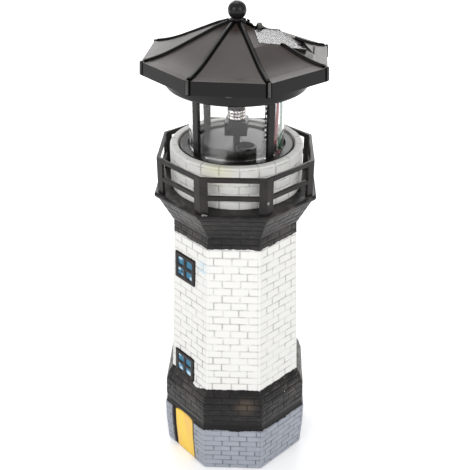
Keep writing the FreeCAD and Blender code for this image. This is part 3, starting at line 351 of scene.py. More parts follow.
def black_paint(joint):
    """Near black, lighter grey brown on the left and right faces, where rubbed wear and dry brushing are raised
    into a painted sheen, darker in the lines.
    """
    across = step("SeparateXYZ", {0: place()}, "X")
    # painted sheen: the worn and dry-brushed greys are strongest on the faces to the left and right
    side_sheen = between(sums("ABSOLUTE", across), 0.018, 0.032, 0.25, 1.0)
    worn = between(noise(48.0, 4.0, 0.65), 0.42, 0.68)
    black = mixed(worn * side_sheen, BLACK, (0.052, 0.044, 0.040))
    dry = between(noise(330.0, 3.0, 0.6, stretch=(0.5, 0.5, 1.6)), 0.50, 0.72)
    black = mixed(dry * (side_sheen * 0.7), black, (0.100, 0.092, 0.088))
    black = mixed(near_spot(BROWN_SPOT, 0.0125, (1.0, 1.0, 1.2)) * 0.8, black, (0.095, 0.070, 0.052))
    return mixed(joint * 0.95, black, (0.002, 0.002, 0.002))


def grey_paint(joint, tone):
    """Blue grey, a little uneven from brick to brick, darker in the lines."""
    grey = mixed(noise(90.0, 4.0, 0.6), GREY_BLUE, (0.29, 0.31, 0.36))
    grey = mixed(tone * 0.3, grey, (0.42, 0.44, 0.50))
    return mixed(joint * between(noise(130.0), 0.38, 0.60, 0.40, 1.0), grey, (0.085, 0.090, 0.110))


def tower_paint():
    """The three bands by height, the white drum, near black in the door's recess as dark paint and painted
    shade, and light specks, brushed all over.
    """
    new_finish("brush_painted_resin", Specular_IOR_Level=0.22)
    height = step("SeparateXYZ", {0: place()}, "Z")
    wander, ragged = (noise(95.0) - 0.5) * 0.0036, (noise(420.0, 2.0) - 0.5) * 0.0016
    brushed = (height + wander) + (ragged + near_spot(DIP_SPOT, 0.0095) * 0.0045)
    joint = attribute("joint")
    wet = between(brushed, FOOT_BAND - WET_SOFT, FOOT_BAND + WET_SOFT, 0.92, 0.0)
    white, black = white_paint(joint), mixed(wet, black_paint(joint), (0.0035, 0.0033, 0.0035))
    band = grey_paint(joint, attribute("tone"))
    for edge, paint in ((PLINTH_EDGE, black), (SKIRT_EDGE, white), (NECK_EDGE, black)):
        band = mixed(between(brushed, edge - EDGE_SOFT, edge + EDGE_SOFT), band, paint)
    band = mixed(attribute("drum"), band, white)
    # painted shade and dark paint: near black where the door's recess and the strip beside it are marked
    band = mixed(attribute("dark"), band, (0.016, 0.012, 0.011))
    band = mixed(specks(62.0, 0.00055, 0.8), band, (0.72, 0.71, 0.68))
    bright = step("RGBToBW", {0: band})
    strokes = noise(900.0, 3.0, 0.6, stretch=(1, 1, 0.25))
    rough = sums("MINIMUM", between(bright, 0.05, 0.5, 0.26, 0.60),
                 between(bright, 0.003, 0.009, 0.13, 0.60))
    relief = bumped(noise(420.0, 4.0, 0.6), 0.00014, 0.7, bumped(strokes, 0.00005, 0.8))
    return plug(Base_Color=band, Roughness=rough + strokes * 0.12, Normal=relief)


TOWER_PAINT = tower_paint()

# %% [markdown]
# ## The brickwork
# The casting was made from a hand-carved master, so each brick is a soft pillow between shallow
# carved lines, a little uneven in height, and the lines wander. The surface is a grid on the rounded
# octagon: its rows follow the courses and its columns follow the upright joints, packed closely at
# the lines and loosely between, so the carving is real shape at a modest count of faces.

# %% Lines of a grid
LINE_STEPS = np.array([-1.15, -0.6, -0.28, 0.0, 0.28, 0.6, 1.15])
LINE_WIDE = 0.42
LINE_DEEP = 0.38
ROW_SHARE = 0.78
CORNER_ROUND = 1.1
CORNER_STRIP = 1.1
FAR_OFF = 9.0
FACES_APART = 61.0
BRICK_PROUD = 0.16
NUDGE = 1.5


def close_to(lines, low, high, extra=()):
    """Sorted places from low to high, packed round each line and loose between, with the signed
    distance to the nearest line, and how many lines lie below, at each."""
    lines = np.asarray(lines, float)
    middles = (lines[:-1] + lines[1:]) / 2
    spots = np.concatenate([(lines[:, None] + LINE_STEPS).ravel(), middles, [low, high], extra])
    spots = np.unique(spots[(spots >= low) & (spots <= high)].round(4))
    nearest = np.abs(spots[:, None] - lines).argmin(1)
    return spots, spots - lines[nearest], (spots[:, None] > lines + 1e-6).sum(1), nearest


def octagon_columns(wide, brick_long, extra=None):
    """Columns round an octagon whose faces are wide mm: per face half the left corner's arc, the flat's
    places round the upright lines at every half brick, and half the right arc."""
    parts = []
    for side in range(SIDES):
        shift = (side * 0.37 + 0.2) % 1.0 - 0.5
        lines = (np.arange(-40, 41) + shift) * brick_long / 2
        lines = lines[np.abs(lines) < wide / 2 - CORNER_STRIP - 1.0]
        strip = np.array([0.7, 0.9, 1.1, 1.3, 1.6]) / 1.1 * CORNER_STRIP - wide / 2
        more = np.concatenate([strip, -strip, (extra or {}).get(side, [])])
        spots, off, below, nearest = close_to(lines, -wide / 2, wide / 2, more)
        arcs = np.array([-HALF, -HALF / 2, HALF / 2])
        flat = np.zeros(len(spots))
        part = {
            "side": np.full(len(spots) + 3, side),
            "x": np.concatenate([[-wide / 2] * 2, spots, [wide / 2]]),
            "arc": np.concatenate([arcs[:2], flat, arcs[2:]]),
            "off": np.concatenate([[FAR_OFF] * 2, off, [FAR_OFF]]),
            "below": np.concatenate([[0] * 2, below, [len(lines)]]),
            "nearest": np.concatenate([[0] * 2, nearest, [len(lines) - 1]]),
        }
        parts.append(part)
    return {key: np.concatenate([part[key] for part in parts]) for key in parts[0]}


print("columns round the shaft:", len(octagon_columns(37.0, 12.4)["x"]))

# %% [markdown]
# ## Carving the bricks
# For each point the carving is worked out from its course and its nearest upright line. Running bond
# means that an upright line shows in every second course. Each course moves its upright lines a
# little, by hand as it were, and the whole pattern wanders with a slow noise.

# %% Carving


def chance(*numbers):
    """A repeatable value from 0 to 1 for whole numbers: the fraction of a large sine."""
    wave = sum(number * factor for number, factor in zip(numbers, (12.9898, 78.233, 37.719, 4.581)))
    wave = np.sin(wave) * 43758.5453
    return wave - np.floor(wave)


def carved(rows, columns, wide, seed):
    """Displacement in mm, joint share and sideways shift in mm, for rows x columns. Formula: groove =
    1 - (1 - g(row)) (1 - g(column)), g(d) = exp(-(d / line width) squared)."""
    spots, row_off, course = rows
    course = course[:, None]
    parity = (course + columns["nearest"] + columns["side"]) % 2 == 0
    row_groove = np.exp(-(row_off[:, None] / LINE_WIDE) ** 2) * np.ones(len(columns["x"]))
    column_groove = np.where(parity, np.exp(-(columns["off"] / LINE_WIDE) ** 2), 0.0)
    edge = np.abs(columns["x"]) - (wide / 2 - CORNER_STRIP)
    strip = np.where(edge > 0.3, 0.55, 1.0)
    lined = np.where((columns["side"] == 0) & (columns["x"] > 0), 0.55, 0.18)
    strip_groove = np.where(np.abs(columns["arc"]) > 0, 0.0, np.exp(-(edge / 0.25) ** 2)) * lined
    deeper = 1 - (1 - row_groove * strip) * (1 - column_groove * strip)
    groove = 1 - (1 - ROW_SHARE * row_groove * strip) * (1 - column_groove * strip) * (1 - strip_groove)
    brick = (columns["below"] + (course + columns["side"]) % 2) // 2
    proud = chance(course, brick, columns["side"], seed) - 0.5
    across = columns["x"] + FACES_APART * columns["side"]
    flat_spot = np.stack(np.broadcast_arrays(across, spots[:, None], seed * 9.0), -1)
    wander = smooth_noise(flat_spot, 9.0, seed)
    deep = LINE_DEEP * (0.85 + 0.35 * smooth_noise(flat_spot, 7.0, seed + 3))
    lift = np.where(np.abs(columns["arc"]) > 0, 0.0, proud * BRICK_PROUD) * (1 - deeper)
    displaced = lift - deep * deeper + 0.10 * wander + 0.04 * smooth_noise(flat_spot, 2.2, seed + 5)
    nudge, other = ((chance(each, columns["nearest"], columns["side"], seed + 1) - 0.5) * NUDGE
                    for each in (course, course - np.sign(row_off[:, None])))
    near_line = np.clip(1 - np.abs(row_off[:, None]) / 0.6, 0, 1) / 2
    ease = np.clip(1 - (np.abs(columns["off"]) - 1.2) / 1.6, 0, 1) * (np.abs(columns["off"]) < FAR_OFF - 1)
    shift = (nudge * (1 - near_line) + other * near_line) * ease * np.clip(-edge / 1.5, 0, 1)
    return displaced, groove, shift + 0.2 * smooth_noise(flat_spot, 13.0, seed + 8), wander


def ring_points(radius, height, columns, wide, displaced=0.0, shift=0.0):
    """Points of rounded octagons. Formula: face normal times (apothem - round) + along the face +
    round times the arc's direction, pushed along that direction by the displacement."""
    apothem = np.asarray(radius, float)[:, None] * math.cos(HALF) - CORNER_ROUND
    turn = columns["side"] * 2 * HALF
    normal = np.stack([np.sin(turn), -np.cos(turn)], -1)
    along = np.stack([np.cos(turn), np.sin(turn)], -1)
    arc = columns["arc"][:, None]
    out = np.cos(arc) * normal + np.sin(arc) * along
    share = columns["x"] / (wide / 2)
    sideways = share * apothem * math.tan(HALF) + shift
    push = CORNER_ROUND + displaced + np.zeros_like(sideways)
    plan = apothem[..., None] * normal + sideways[..., None] * along + push[..., None] * out
    level = np.broadcast_to(height[:, None] if np.ndim(height) == 1 else height, sideways.shape)
    return np.concatenate([plan, level[..., None]], -1) * MM


# %% [markdown]
# ## Foot and skirt
# The grey foot is a low octagon whose sides swell a little; the black skirt leans in above it and
# rolls over a soft shoulder to the shaft. Both belong to one casting, so one closed ring makes them:
# outside up, over the top, inside down. The doorway is a rectangle pushed into the left front face.
# Above the foot the painter left a plain glossy band: the carving is stilled there, and hollowed a
# little, so that it catches one long soft light as wet paint does.

# %% Profile of the casting
LIP_HEIGHT = 42.6
SHOULDER_TOP = 79.0
SHAFT_TOP = 200.6
SLAB_UNDER = 229.0
SLAB_TOP = 234.0
PROFILE = np.array([(0.0, 59.6), (25.0, 61.0), (42.4, 61.0), (43.3, 60.0), (66.0, 59.2), (74.0, 56.5),
                    (79.0, 53.3), (200.6, 47.5), (210.0, 47.1), (229.0, 57.4)])


def outer_radius(height, soften=1.0):
    """Corner radius in mm at a height: the profile averaged over a short span, which rounds its bends."""
    spans = np.linspace(-soften, soften, 9)
    return np.interp(np.asarray(height)[..., None] + spans, PROFILE[:, 0], PROFILE[:, 1]).mean(-1)


def course_rows(low, high, courses, extra=()):
    """Rows of a wall: heights, distance to the nearest course line, number of the course."""
    lines = np.linspace(low, high, courses + 1)
    spots, off, below, nearest = close_to(lines, low, high, extra)
    return spots, off, np.clip(below - 1, 0, courses - 1)


# %% Foot and skirt
DOOR_SIDE = 7
DOOR_LEFT, DOOR_RIGHT = -15.05, 10.25
DOOR_FOOT, DOOR_TOP = 0.3, 44.5
RECESS_DEEP = 2.2
FOOT_WIDE = 43.0
STEEP = 0.04
RECESS_SHADE_MARK = 2.0
BAND_LOW, BAND_TOP = 43.3, 52.0
BAND_SOFT, COVE_DEEP, CALM_WIDE = 0.8, 0.5, 2.5
FOOT_COURSES, SKIRT_COURSES, FOOT_BRICK = 8, 7, 12.6
FOOT_ROUND, FOOT_ROUND_HIGH = 1.6, 0.9
FOOT_INNER, SHAFT_INNER = (54.5, 47.9), (47.9, 42.1)


def doorway(columns, heights, displaced, groove, shift):
    """Pushes the door's rectangle into the wall, stills the carving round it, and leaves a plain band,
    hollowed a little, above the foot. The recess and a strip beside its right edge are marked for near
    black: dark paint and painted shade."""
    here = columns["side"] == DOOR_SIDE
    band = np.clip(np.minimum(heights - BAND_LOW, BAND_TOP - heights) / BAND_SOFT, 0, 1)[:, None]
    share = np.clip((heights - BAND_LOW) / (BAND_TOP - BAND_LOW), 0, 1)[:, None]
    cove = -COVE_DEEP * band * np.sin(share * math.pi)
    displaced = displaced * (1 - 0.8 * band) + cove
    groove = groove * (1 - 0.9 * band)
    x = columns["x"]
    z = heights[:, None]
    inside = here & (x > DOOR_LEFT) & (x < DOOR_RIGHT) & (z > DOOR_FOOT) & (z < DOOR_TOP)
    calm = here & (x > DOOR_LEFT - CALM_WIDE) & (x < DOOR_RIGHT + CALM_WIDE) & (z < DOOR_TOP + CALM_WIDE)
    displaced = np.where(inside, -RECESS_DEEP, np.where(calm, displaced * 0.4, displaced))
    # painted shade: the recess and a narrow strip right of the door are marked for near black, partly dark paint
    border = here & (np.abs(x - DOOR_RIGHT - 0.5) < 0.55) & (z < DOOR_TOP)
    return displaced, np.where(inside | border, RECESS_SHADE_MARK, groove), np.where(calm, 0.0, shift)


def wall_ring(name, rows, columns, wide, seed, radius, inner, opening=None):
    """A closed ring of wall: carved outside rows, then plain inside rows back down to the start."""
    displaced, groove, shift, wander = carved(rows, columns, wide, seed)
    heights = rows[0]
    if opening:
        displaced, groove, shift = opening(columns, heights, displaced, groove, shift)
    fade = np.minimum(1, np.minimum(heights - heights[0], heights[-1] - heights) / 0.5)[:, None]
    waved = heights[:, None] + 0.2 * wander * fade
    outside = ring_points(radius, waved, columns, wide, displaced * np.clip(fade, 0.3, 1), shift * fade)
    low, high = heights[0], heights[-1]
    inside = ring_points(np.array([inner[1], inner[0]]), np.array([high, low]), columns, wide)
    points = np.concatenate([outside, inside])
    tone = chance(rows[2][:, None], columns["below"], columns["side"]) + 0 * groove
    plain = np.zeros((2, len(columns["x"])))
    carried = {"joint": groove, "tone": tone, "drum": groove * 0, "dark": groove >= RECESS_SHADE_MARK}
    carried = {label: np.concatenate([values, plain]) for label, values in carried.items()}
    faces = grid_faces(len(points), len(columns["x"]), wrap_rows=True, wrap_columns=True)
    piece = add_piece(name, "tower", [(points, faces)], TOWER_PAINT, carried)
    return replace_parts(piece, "tower_casting")


door_lines = [DOOR_LEFT - STEEP, DOOR_LEFT + STEEP, DOOR_RIGHT - STEEP, DOOR_RIGHT + STEEP, DOOR_RIGHT + 1.0,
              DOOR_RIGHT + 1.1]
door_rows = [DOOR_FOOT - STEEP, DOOR_FOOT + STEEP, DOOR_TOP - STEEP, DOOR_TOP + STEEP]
foot_columns = octagon_columns(FOOT_WIDE, FOOT_BRICK, {DOOR_SIDE: door_lines})
foot_part = course_rows(0.0, LIP_HEIGHT, FOOT_COURSES, door_rows)
skirt_part = course_rows(LIP_HEIGHT, SHOULDER_TOP, SKIRT_COURSES, door_rows)
foot_rows = tuple(np.concatenate([low, high[1:] + (FOOT_COURSES if index == 2 else 0)])
                  for index, (low, high) in enumerate(zip(foot_part, skirt_part)))
foot_radius = outer_radius(foot_rows[0]) - FOOT_ROUND * np.exp(-foot_rows[0] / FOOT_ROUND_HIGH)
wall_ring("foot_and_skirt", foot_rows, foot_columns, FOOT_WIDE, 1.0, foot_radius, FOOT_INNER, opening=doorway)

# %% [markdown]
# ## Shaft
# Twenty courses of white bricks on eight faces that lean in a little.

# %% Shaft
SHAFT_WIDE, SHAFT_BRICK, SHAFT_COURSES = 37.2, 12.4, 20
shaft_rows = course_rows(SHOULDER_TOP, SHAFT_TOP, SHAFT_COURSES)
wall_ring("shaft_wall", shaft_rows, octagon_columns(SHAFT_WIDE, SHAFT_BRICK), SHAFT_WIDE, 2.0,
          outer_radius(shaft_rows[0]), SHAFT_INNER)

# %% [markdown]
# ## Gallery
# Below the gallery the wall swings out in black courses to the slab. The slab's edge is soft from
# the mould, and its top is flat; the drum stands on it.

# %% Corbel and slab
CORBEL_WIDE, CORBEL_BRICK, CORBEL_COURSES = 39.0, 13.0, 6
SLAB_EDGE = np.array([(230.2, 59.2), (231.3, 60.3), (232.6, 60.45), (233.4, 60.2), (233.85, 59.6),
                      (234.0, 58.7), (234.0, 55.0), (234.0, 50.0), (234.0, 44.0)])
corbel_rows = course_rows(SHAFT_TOP, SLAB_UNDER, CORBEL_COURSES)
corbel_columns = octagon_columns(CORBEL_WIDE, CORBEL_BRICK)
displaced, groove, shift, wander = carved(corbel_rows, corbel_columns, CORBEL_WIDE, 3.0)
corbel = ring_points(outer_radius(corbel_rows[0]), corbel_rows[0], corbel_columns, CORBEL_WIDE,
                     displaced, shift)
across = corbel_columns["x"] + FACES_APART * corbel_columns["side"]
flat_spot = np.stack(np.broadcast_arrays(across, SLAB_EDGE[:, :1], 3.0), -1)
slab = ring_points(SLAB_EDGE[:, 1], SLAB_EDGE[:, 0], corbel_columns, CORBEL_WIDE,
                   0.12 * smooth_noise(flat_spot, 6.0, 4))
under = ring_points(np.array([44.0, 41.7, 42.1]), np.array([226.0, 210.0, SHAFT_TOP]), corbel_columns,
                    CORBEL_WIDE)
gallery_points = np.concatenate([corbel, slab, under])
joint = np.concatenate([groove, np.zeros((len(SLAB_EDGE) + 3, groove.shape[1]))])
gallery_faces = grid_faces(len(gallery_points), groove.shape[1], wrap_rows=True, wrap_columns=True)
gallery = add_piece("gallery_slab", "tower", [(gallery_points, gallery_faces)], TOWER_PAINT,
                    {"joint": joint, "tone": joint * 0, "drum": joint * 0})
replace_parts(gallery, "tower_casting")

# %% [markdown]
# ## Drum
# The round white drum carries the lantern. Its bricks are carved like the others, on a circle, its
# top edge is rolled, and a ledge inside holds the lantern's flange.

# %% Drum
DRUM_RADIUS = 46.19
DRUM_TOP = 263.7
BORE_RADIUS, WELL_RADIUS, SEAT = 40.49, 37.39, 259.6
DRUM_HALF_BRICKS, DRUM_COURSES, RIM_ROUND = 44, 5, 1.5


def round_columns(half_bricks):
    """Columns round a circle: places round an upright line at every half brick, as arc lengths."""
    length = 2 * math.pi * DRUM_RADIUS
    lines = (np.arange(half_bricks) + 0.5) * length / half_bricks
    spots, off, below, nearest = close_to(lines, 0.0, length)
    keep = slice(0, len(spots) - 1)
    return {"x": spots[keep], "off": off[keep], "below": below[keep], "nearest": nearest[keep],
            "side": np.zeros(len(spots) - 1, int), "arc": np.zeros(len(spots) - 1)}


def circle_points(radius, height, columns, shift=0.0):
    """Points of circles in metres. Formula: the angle is arc length over the drum's radius."""
    return around(radius, (columns["x"] + shift) / DRUM_RADIUS, height) * MM


drum_rows = course_rows(SLAB_TOP - 0.3, DRUM_TOP - 1.6, DRUM_COURSES)
drum_columns = round_columns(DRUM_HALF_BRICKS)
displaced, groove, shift, wander = carved(drum_rows, drum_columns, 1e3, 5.0)
side_rows = drum_rows[0][:, None]
drum_side = circle_points(DRUM_RADIUS + displaced, side_rows + 0.15 * wander, drum_columns, shift)
turns = np.linspace(0.25, 1.0, 5)[:, None] * math.pi / 2
upright = (drum_columns["nearest"] + drum_rows[2][-1]) % 2 == 0
rim_line = np.where(upright, np.exp(-(drum_columns["off"] / LINE_WIDE) ** 2), 0.0)
rim = circle_points(DRUM_RADIUS - RIM_ROUND * (1 - np.cos(turns)) + 0.05 * wander[-1] - 0.3 * rim_line,
                    DRUM_TOP - RIM_ROUND * (1 - np.sin(turns)) - 0.3 * rim_line, drum_columns, shift[-1])
inner_radii, inner_heights = np.array([
    (44.0, DRUM_TOP), (42.0, DRUM_TOP), (41.0, DRUM_TOP), (40.65, 263.5), (BORE_RADIUS, 263.1),
    (BORE_RADIUS, SEAT), (WELL_RADIUS, SEAT), (WELL_RADIUS, 226.0), (44.0, 226.0)]).T[:, :, None]
ridge = 0.12 * smooth_noise(circle_points(inner_radii, inner_heights, drum_columns), 0.006, 2)
drum_inside = circle_points(inner_radii, inner_heights + ridge * (inner_heights > 263), drum_columns)
drum_points = np.concatenate([drum_side, rim, drum_inside])
crossing = np.tile(0.9 * rim_line, (len(rim) + 2, 1))
plain = np.zeros((len(drum_points) - len(groove) - len(crossing), groove.shape[1]))
joint = np.concatenate([groove, crossing, plain])
drum = add_piece("drum_wall", "tower",
                 [(drum_points, grid_faces(len(drum_points), groove.shape[1], True, True))], TOWER_PAINT,
                 {"joint": joint, "tone": joint * 0, "drum": joint * 0 + 1})
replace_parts(drum, "tower_casting")

# %% [markdown]
# ## Windows and door
# Each window stands a little proud of the left front face: a dark frame with four painted panes sunk
# in it. A relief like this is a height over a small plan, so it is one sheet whose front follows the
# height and whose back lies inside the wall. The door is a slab of the same kind, set in its recess.

# %% Reliefs on a leaning face
PANE_AT = [(-4.5, 4.4), (4.5, 4.4), (-4.5, -4.4), (4.5, -4.4)]
PANE_HALF = (3.15, 3.0)
WINDOW_HALF = (11.1, 11.0)
WINDOW_SHIFT = -5.1
WINDOW_HEIGHTS = {"upper": 175.5, "lower": 88.0}
WINDOW_PROUD, PANE_DEEP, WINDOW_BACK = 1.2, 1.0, -0.8


def on_face(side, x, z, out):
    """Points on an octagon face. Formula: (apothem at z + out) times its normal + x along it."""
    turn = side * 2 * HALF
    away = outer_radius(z) * math.cos(HALF) + out
    across, forward = away * math.sin(turn) + x * math.cos(turn), x * math.sin(turn) - away * math.cos(turn)
    return np.stack([across, forward, z], -1) * MM


def rounded_inside(x, z, half, corner):
    """Distance in mm inside a rounded rectangle, negative outside."""
    over = np.stack([np.abs(x) - half[0] + corner, np.abs(z) - half[1] + corner], -1)
    outside = np.hypot(*np.moveaxis(np.maximum(over, 0), -1, 0))
    return corner - outside - np.minimum(np.max(over, -1), 0)


def sheet_patches(front, back):
    """A closed pillow from a front grid and a back grid with the same plan: the rows go up the front and
    down the back, and both ends of the columns are drawn together on the back."""
    ring = np.concatenate([front, back[::-1]])
    rows, columns = ring.shape[:2]
    low = np.arange(rows // 2 - 1)
    left = np.stack([low, low + 1, rows - 2 - low, rows - 1 - low], -1) * columns
    right = left[:, ::-1] + columns - 1
    return [(ring, np.concatenate([grid_faces(rows, columns, wrap_rows=True), left, right]))]


def relief(name, x, level, front, back, look, attributes):
    """A sheet on the door's face, from front to back mm out of it. attributes: name -> the values on its
    front and the one value on its back."""
    sheet = sheet_patches(*(on_face(DOOR_SIDE, x, level, out) for out in (front, front * 0 + back)))
    carried = {label: np.concatenate([values, values * 0 + behind])
               for label, (values, behind) in attributes.items()}
    piece = add_piece(name, "tower", sheet, look, carried)
    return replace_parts(piece, "tower_casting")


def fine_places(half, lines, pitch):
    """Even places from -half to half with closer ones round the given lines."""
    close = [np.array([-0.3, 0, 0.3]) + line for line in lines]
    places = np.concatenate([np.arange(-half, half, pitch), [half], *close])
    return np.unique(places[np.abs(places) <= half].round(3))


# %% Window paint
def window_paint():
    """Painted panes with brushed shines, in a near black frame; the pane's edge is uneven."""
    new_finish("window_paint", Roughness=0.30, Specular_IOR_Level=0.22)
    brush = noise(500.0, 3.0, 0.6)
    frame_tone = mixed(noise(300.0), (0.004, 0.004, 0.006), (0.022, 0.014, 0.012))
    glass = mixed(brush, (0.015, 0.095, 0.18), (0.055, 0.25, 0.40))
    glass = mixed(between(attribute("shine") + brush * 0.35, 0.30, 0.95), glass, (0.55, 0.76, 0.90))
    edge = between(attribute("pane") + brush * 0.5, 0.75, 1.15)
    return plug(Base_Color=mixed(edge, frame_tone, glass), Normal=bumped(brush, 0.00012, 0.8))


WINDOW_PAINT = window_paint()
SHINES = {  # each is across, up, width and strength
    "upper": [(-6.0, 6.6, 1.8, 0.9), (-3.4, 7.0, 1.5, 0.35), (6.5, -6.6, 2.0, 0.9), (-6.6, -2.8, 1.6, 0.7),
              (-3.6, -6.8, 1.6, 0.45), (3.6, 6.4, 1.6, 0.25)],
    "lower": [(-6.6, 6.4, 1.8, 0.8), (-4.6, -6.4, 2.2, 0.8), (-7.0, -3.0, 1.5, 0.6), (6.0, -6.6, 2.2, 1.0),
              (3.2, -5.4, 1.8, 0.6), (6.2, 2.6, 1.6, 0.3)]}


def window(name, height):
    """Front height in mm. Formula: proud x ease(distance inside the outline) - pane depth x ease(inside a
    pane) + a small wander; the top edge is uneven, as a drip of the frame's paint left it."""
    x = fine_places(WINDOW_HALF[0], [-8.3, -0.7, 0.7, 8.3], 0.5)
    z = fine_places(WINDOW_HALF[1], [-8.1, -0.7, 0.7, 8.1], 0.5)[:, None]
    x, z = np.broadcast_arrays(x, z)
    spot = np.stack([x, z, np.full_like(x, height)], -1)
    wave = smooth_noise(spot, 3.0, 11.0)
    uneven = z + 0.55 * np.maximum(0, smooth_noise(spot * (1, 0, 1), 4.5, 12.0)) * (z > 6)
    inside = rounded_inside(x, uneven, WINDOW_HALF, 0.9)
    panes = sum(np.clip(rounded_inside(x - across + 0.25 * wave, z - up, PANE_HALF, 0.8) / 0.5 + 0.5, 0, 1)
                for across, up in PANE_AT)
    rise = np.clip(inside / 0.7, 0, 1)
    front = -0.6 + (WINDOW_PROUD + 0.6) * rise * (2 - rise) - PANE_DEEP * panes + 0.08 * wave * rise
    shine = sum(power * np.exp(-((x - across) ** 2 + (z - up) ** 2) / wide ** 2)
                for across, up, wide, power in SHINES[name])
    dot = np.exp(-((x + 4.2) ** 2 + (z + 4.6) ** 2) / 0.9 ** 2) if name == "upper" else 0
    return relief(f"window_{name}", x + WINDOW_SHIFT, z + height, front, WINDOW_BACK, WINDOW_PAINT,
                  {"pane": (panes * (1 - dot), 0), "shine": (shine, 0)})


for name, height in WINDOW_HEIGHTS.items():
    window(name, height)


# %% [markdown]
# ### The door
# A plank door with a shallow arch, painted in yellow that was brushed downwards over orange. Its top
# rows are packed closely, because the arch is the only curve in it.

# %% Door
def door_paint():
    """Yellow brushed down over orange, with a brown line at the edge."""
    new_finish("door_paint", Roughness=0.38)
    streak = noise(240.0, 3.0, 0.6, stretch=(1, 1, 0.12))
    broad = between(noise(90.0, 2.0, 0.5, stretch=(1, 1, 0.2)), 0.35, 0.65)
    paint = mixed(broad, (0.90, 0.60, 0.035), (0.87, 0.49, 0.085))
    paint = mixed(streak * 0.35, paint, (0.90, 0.62, 0.14))
    paint = mixed(between(attribute("edge"), 0.25, 0.8), paint, (0.055, 0.030, 0.018))
    return plug(Base_Color=paint, Normal=bumped(streak, 0.00012, 0.8))


DOOR_PANEL_LEFT, DOOR_PANEL_RIGHT = -12.05, 9.45
DOOR_PANEL_LOW, DOOR_PANEL_TOP = 0.4, 43.9
PANEL_FACE = -1.0
PLANK_WIDE, PLANK_LINE, ARCH_ROUND, ARCH_STARTS = 5.4, 0.35, 1.7, 38
middle = (DOOR_PANEL_LEFT + DOOR_PANEL_RIGHT) / 2
half_wide = (DOOR_PANEL_RIGHT - DOOR_PANEL_LEFT) / 2
x = fine_places(half_wide, [-10.3, 10.3], 0.6)
z = [*np.arange(DOOR_PANEL_LOW, ARCH_STARTS, 2.0), *np.arange(ARCH_STARTS, DOOR_PANEL_TOP, 0.35), DOOR_PANEL_TOP]
x, z = np.broadcast_arrays(x, np.unique(z)[:, None])
arch = DOOR_PANEL_TOP - ARCH_ROUND * (x / half_wide) ** 2
level = DOOR_PANEL_LOW + (z - DOOR_PANEL_LOW) * (arch - DOOR_PANEL_LOW) / (DOOR_PANEL_TOP - DOOR_PANEL_LOW)
middle_height = (DOOR_PANEL_LOW + DOOR_PANEL_TOP) / 2
half_plan = (half_wide, DOOR_PANEL_TOP - middle_height)
inside = rounded_inside(x, np.maximum(z - middle_height, 0), half_plan, 1.6)
rise = np.clip(inside / 0.6, 0, 1)
planks = 0.10 * np.exp(-((np.abs(x) % PLANK_WIDE - PLANK_WIDE / 2) / PLANK_LINE) ** 2)
front = PANEL_FACE - 1.1 * (1 - rise * (2 - rise)) - planks * rise
edge = np.exp(-np.clip(inside, 0, 9) / 0.45)
relief("door_panel", x + middle, level, front, -RECESS_DEEP - 0.1, door_paint(), {"edge": (edge, 1)})

# %% [markdown]
# ## Finishes of the plastic and metal parts
# The lantern and the railing are moulded in black: satin with a fine grain on the railing, smoother on
# the lantern, and the roof's top is a warm grey that is painted sheen, with some dust. Small parts get
# plain steel, nickel, gear plastic, solder mask and wire insulation. Each finish varies a little in
# tone and roughness at its own scale, because nothing moulded or plated is perfectly even.

# %% Black plastics
LANTERN_TURN = math.radians(-3.03)
DARK_OVAL_SPOT = (0.004, -0.0545, 0.3265)
GLOSS_SPREAD = 0.12


def moulded(name, dark, light, rough, grain=1500.0, depth=0.00002, patch=45.0, level=0.35):
    """Moulded plastic: two near tones in soft patches, fine grain, faint handling marks in the gloss."""
    new_finish(name, Specular_IOR_Level=level)
    patches = between(noise(patch), 0.35, 0.7)
    rubbed = sums("MULTIPLY_ADD", noise(patch * 5, 4.0, 0.65), GLOSS_SPREAD, rough - GLOSS_SPREAD / 2)
    return plug(Base_Color=mixed(patches, dark, light), Roughness=rubbed,
                Normal=bumped(noise(grain, 2.0), depth, 0.7))


def painted_hip_shade():
    """Share of a narrow line of painted shade along both sides of each hip, and the radius. Formula: the
    line's place is the radius x sine of the angle to the nearest hip, where the angle is folded eight times."""
    x, y = step("SeparateXYZ", {0: place()}, ("X", "Y"))
    start = 0.5 - (LANTERN_TURN + HALF) / (2 * HALF)
    folded = sums("MULTIPLY_ADD", sums("ARCTAN2", y, x), 1 / (2 * HALF), start)
    share = sums("ABSOLUTE", sums("FRACT", folded) - 0.5)
    radius = step("VectorMath", {0: step("CombineXYZ", {0: x, 1: y})}, "Value", operation="LENGTH")
    away = radius * sums("SINE", share * (2 * HALF))
    return between(away, 0.0017, 0.0023, 1.0, 0.0) * 0.9, radius


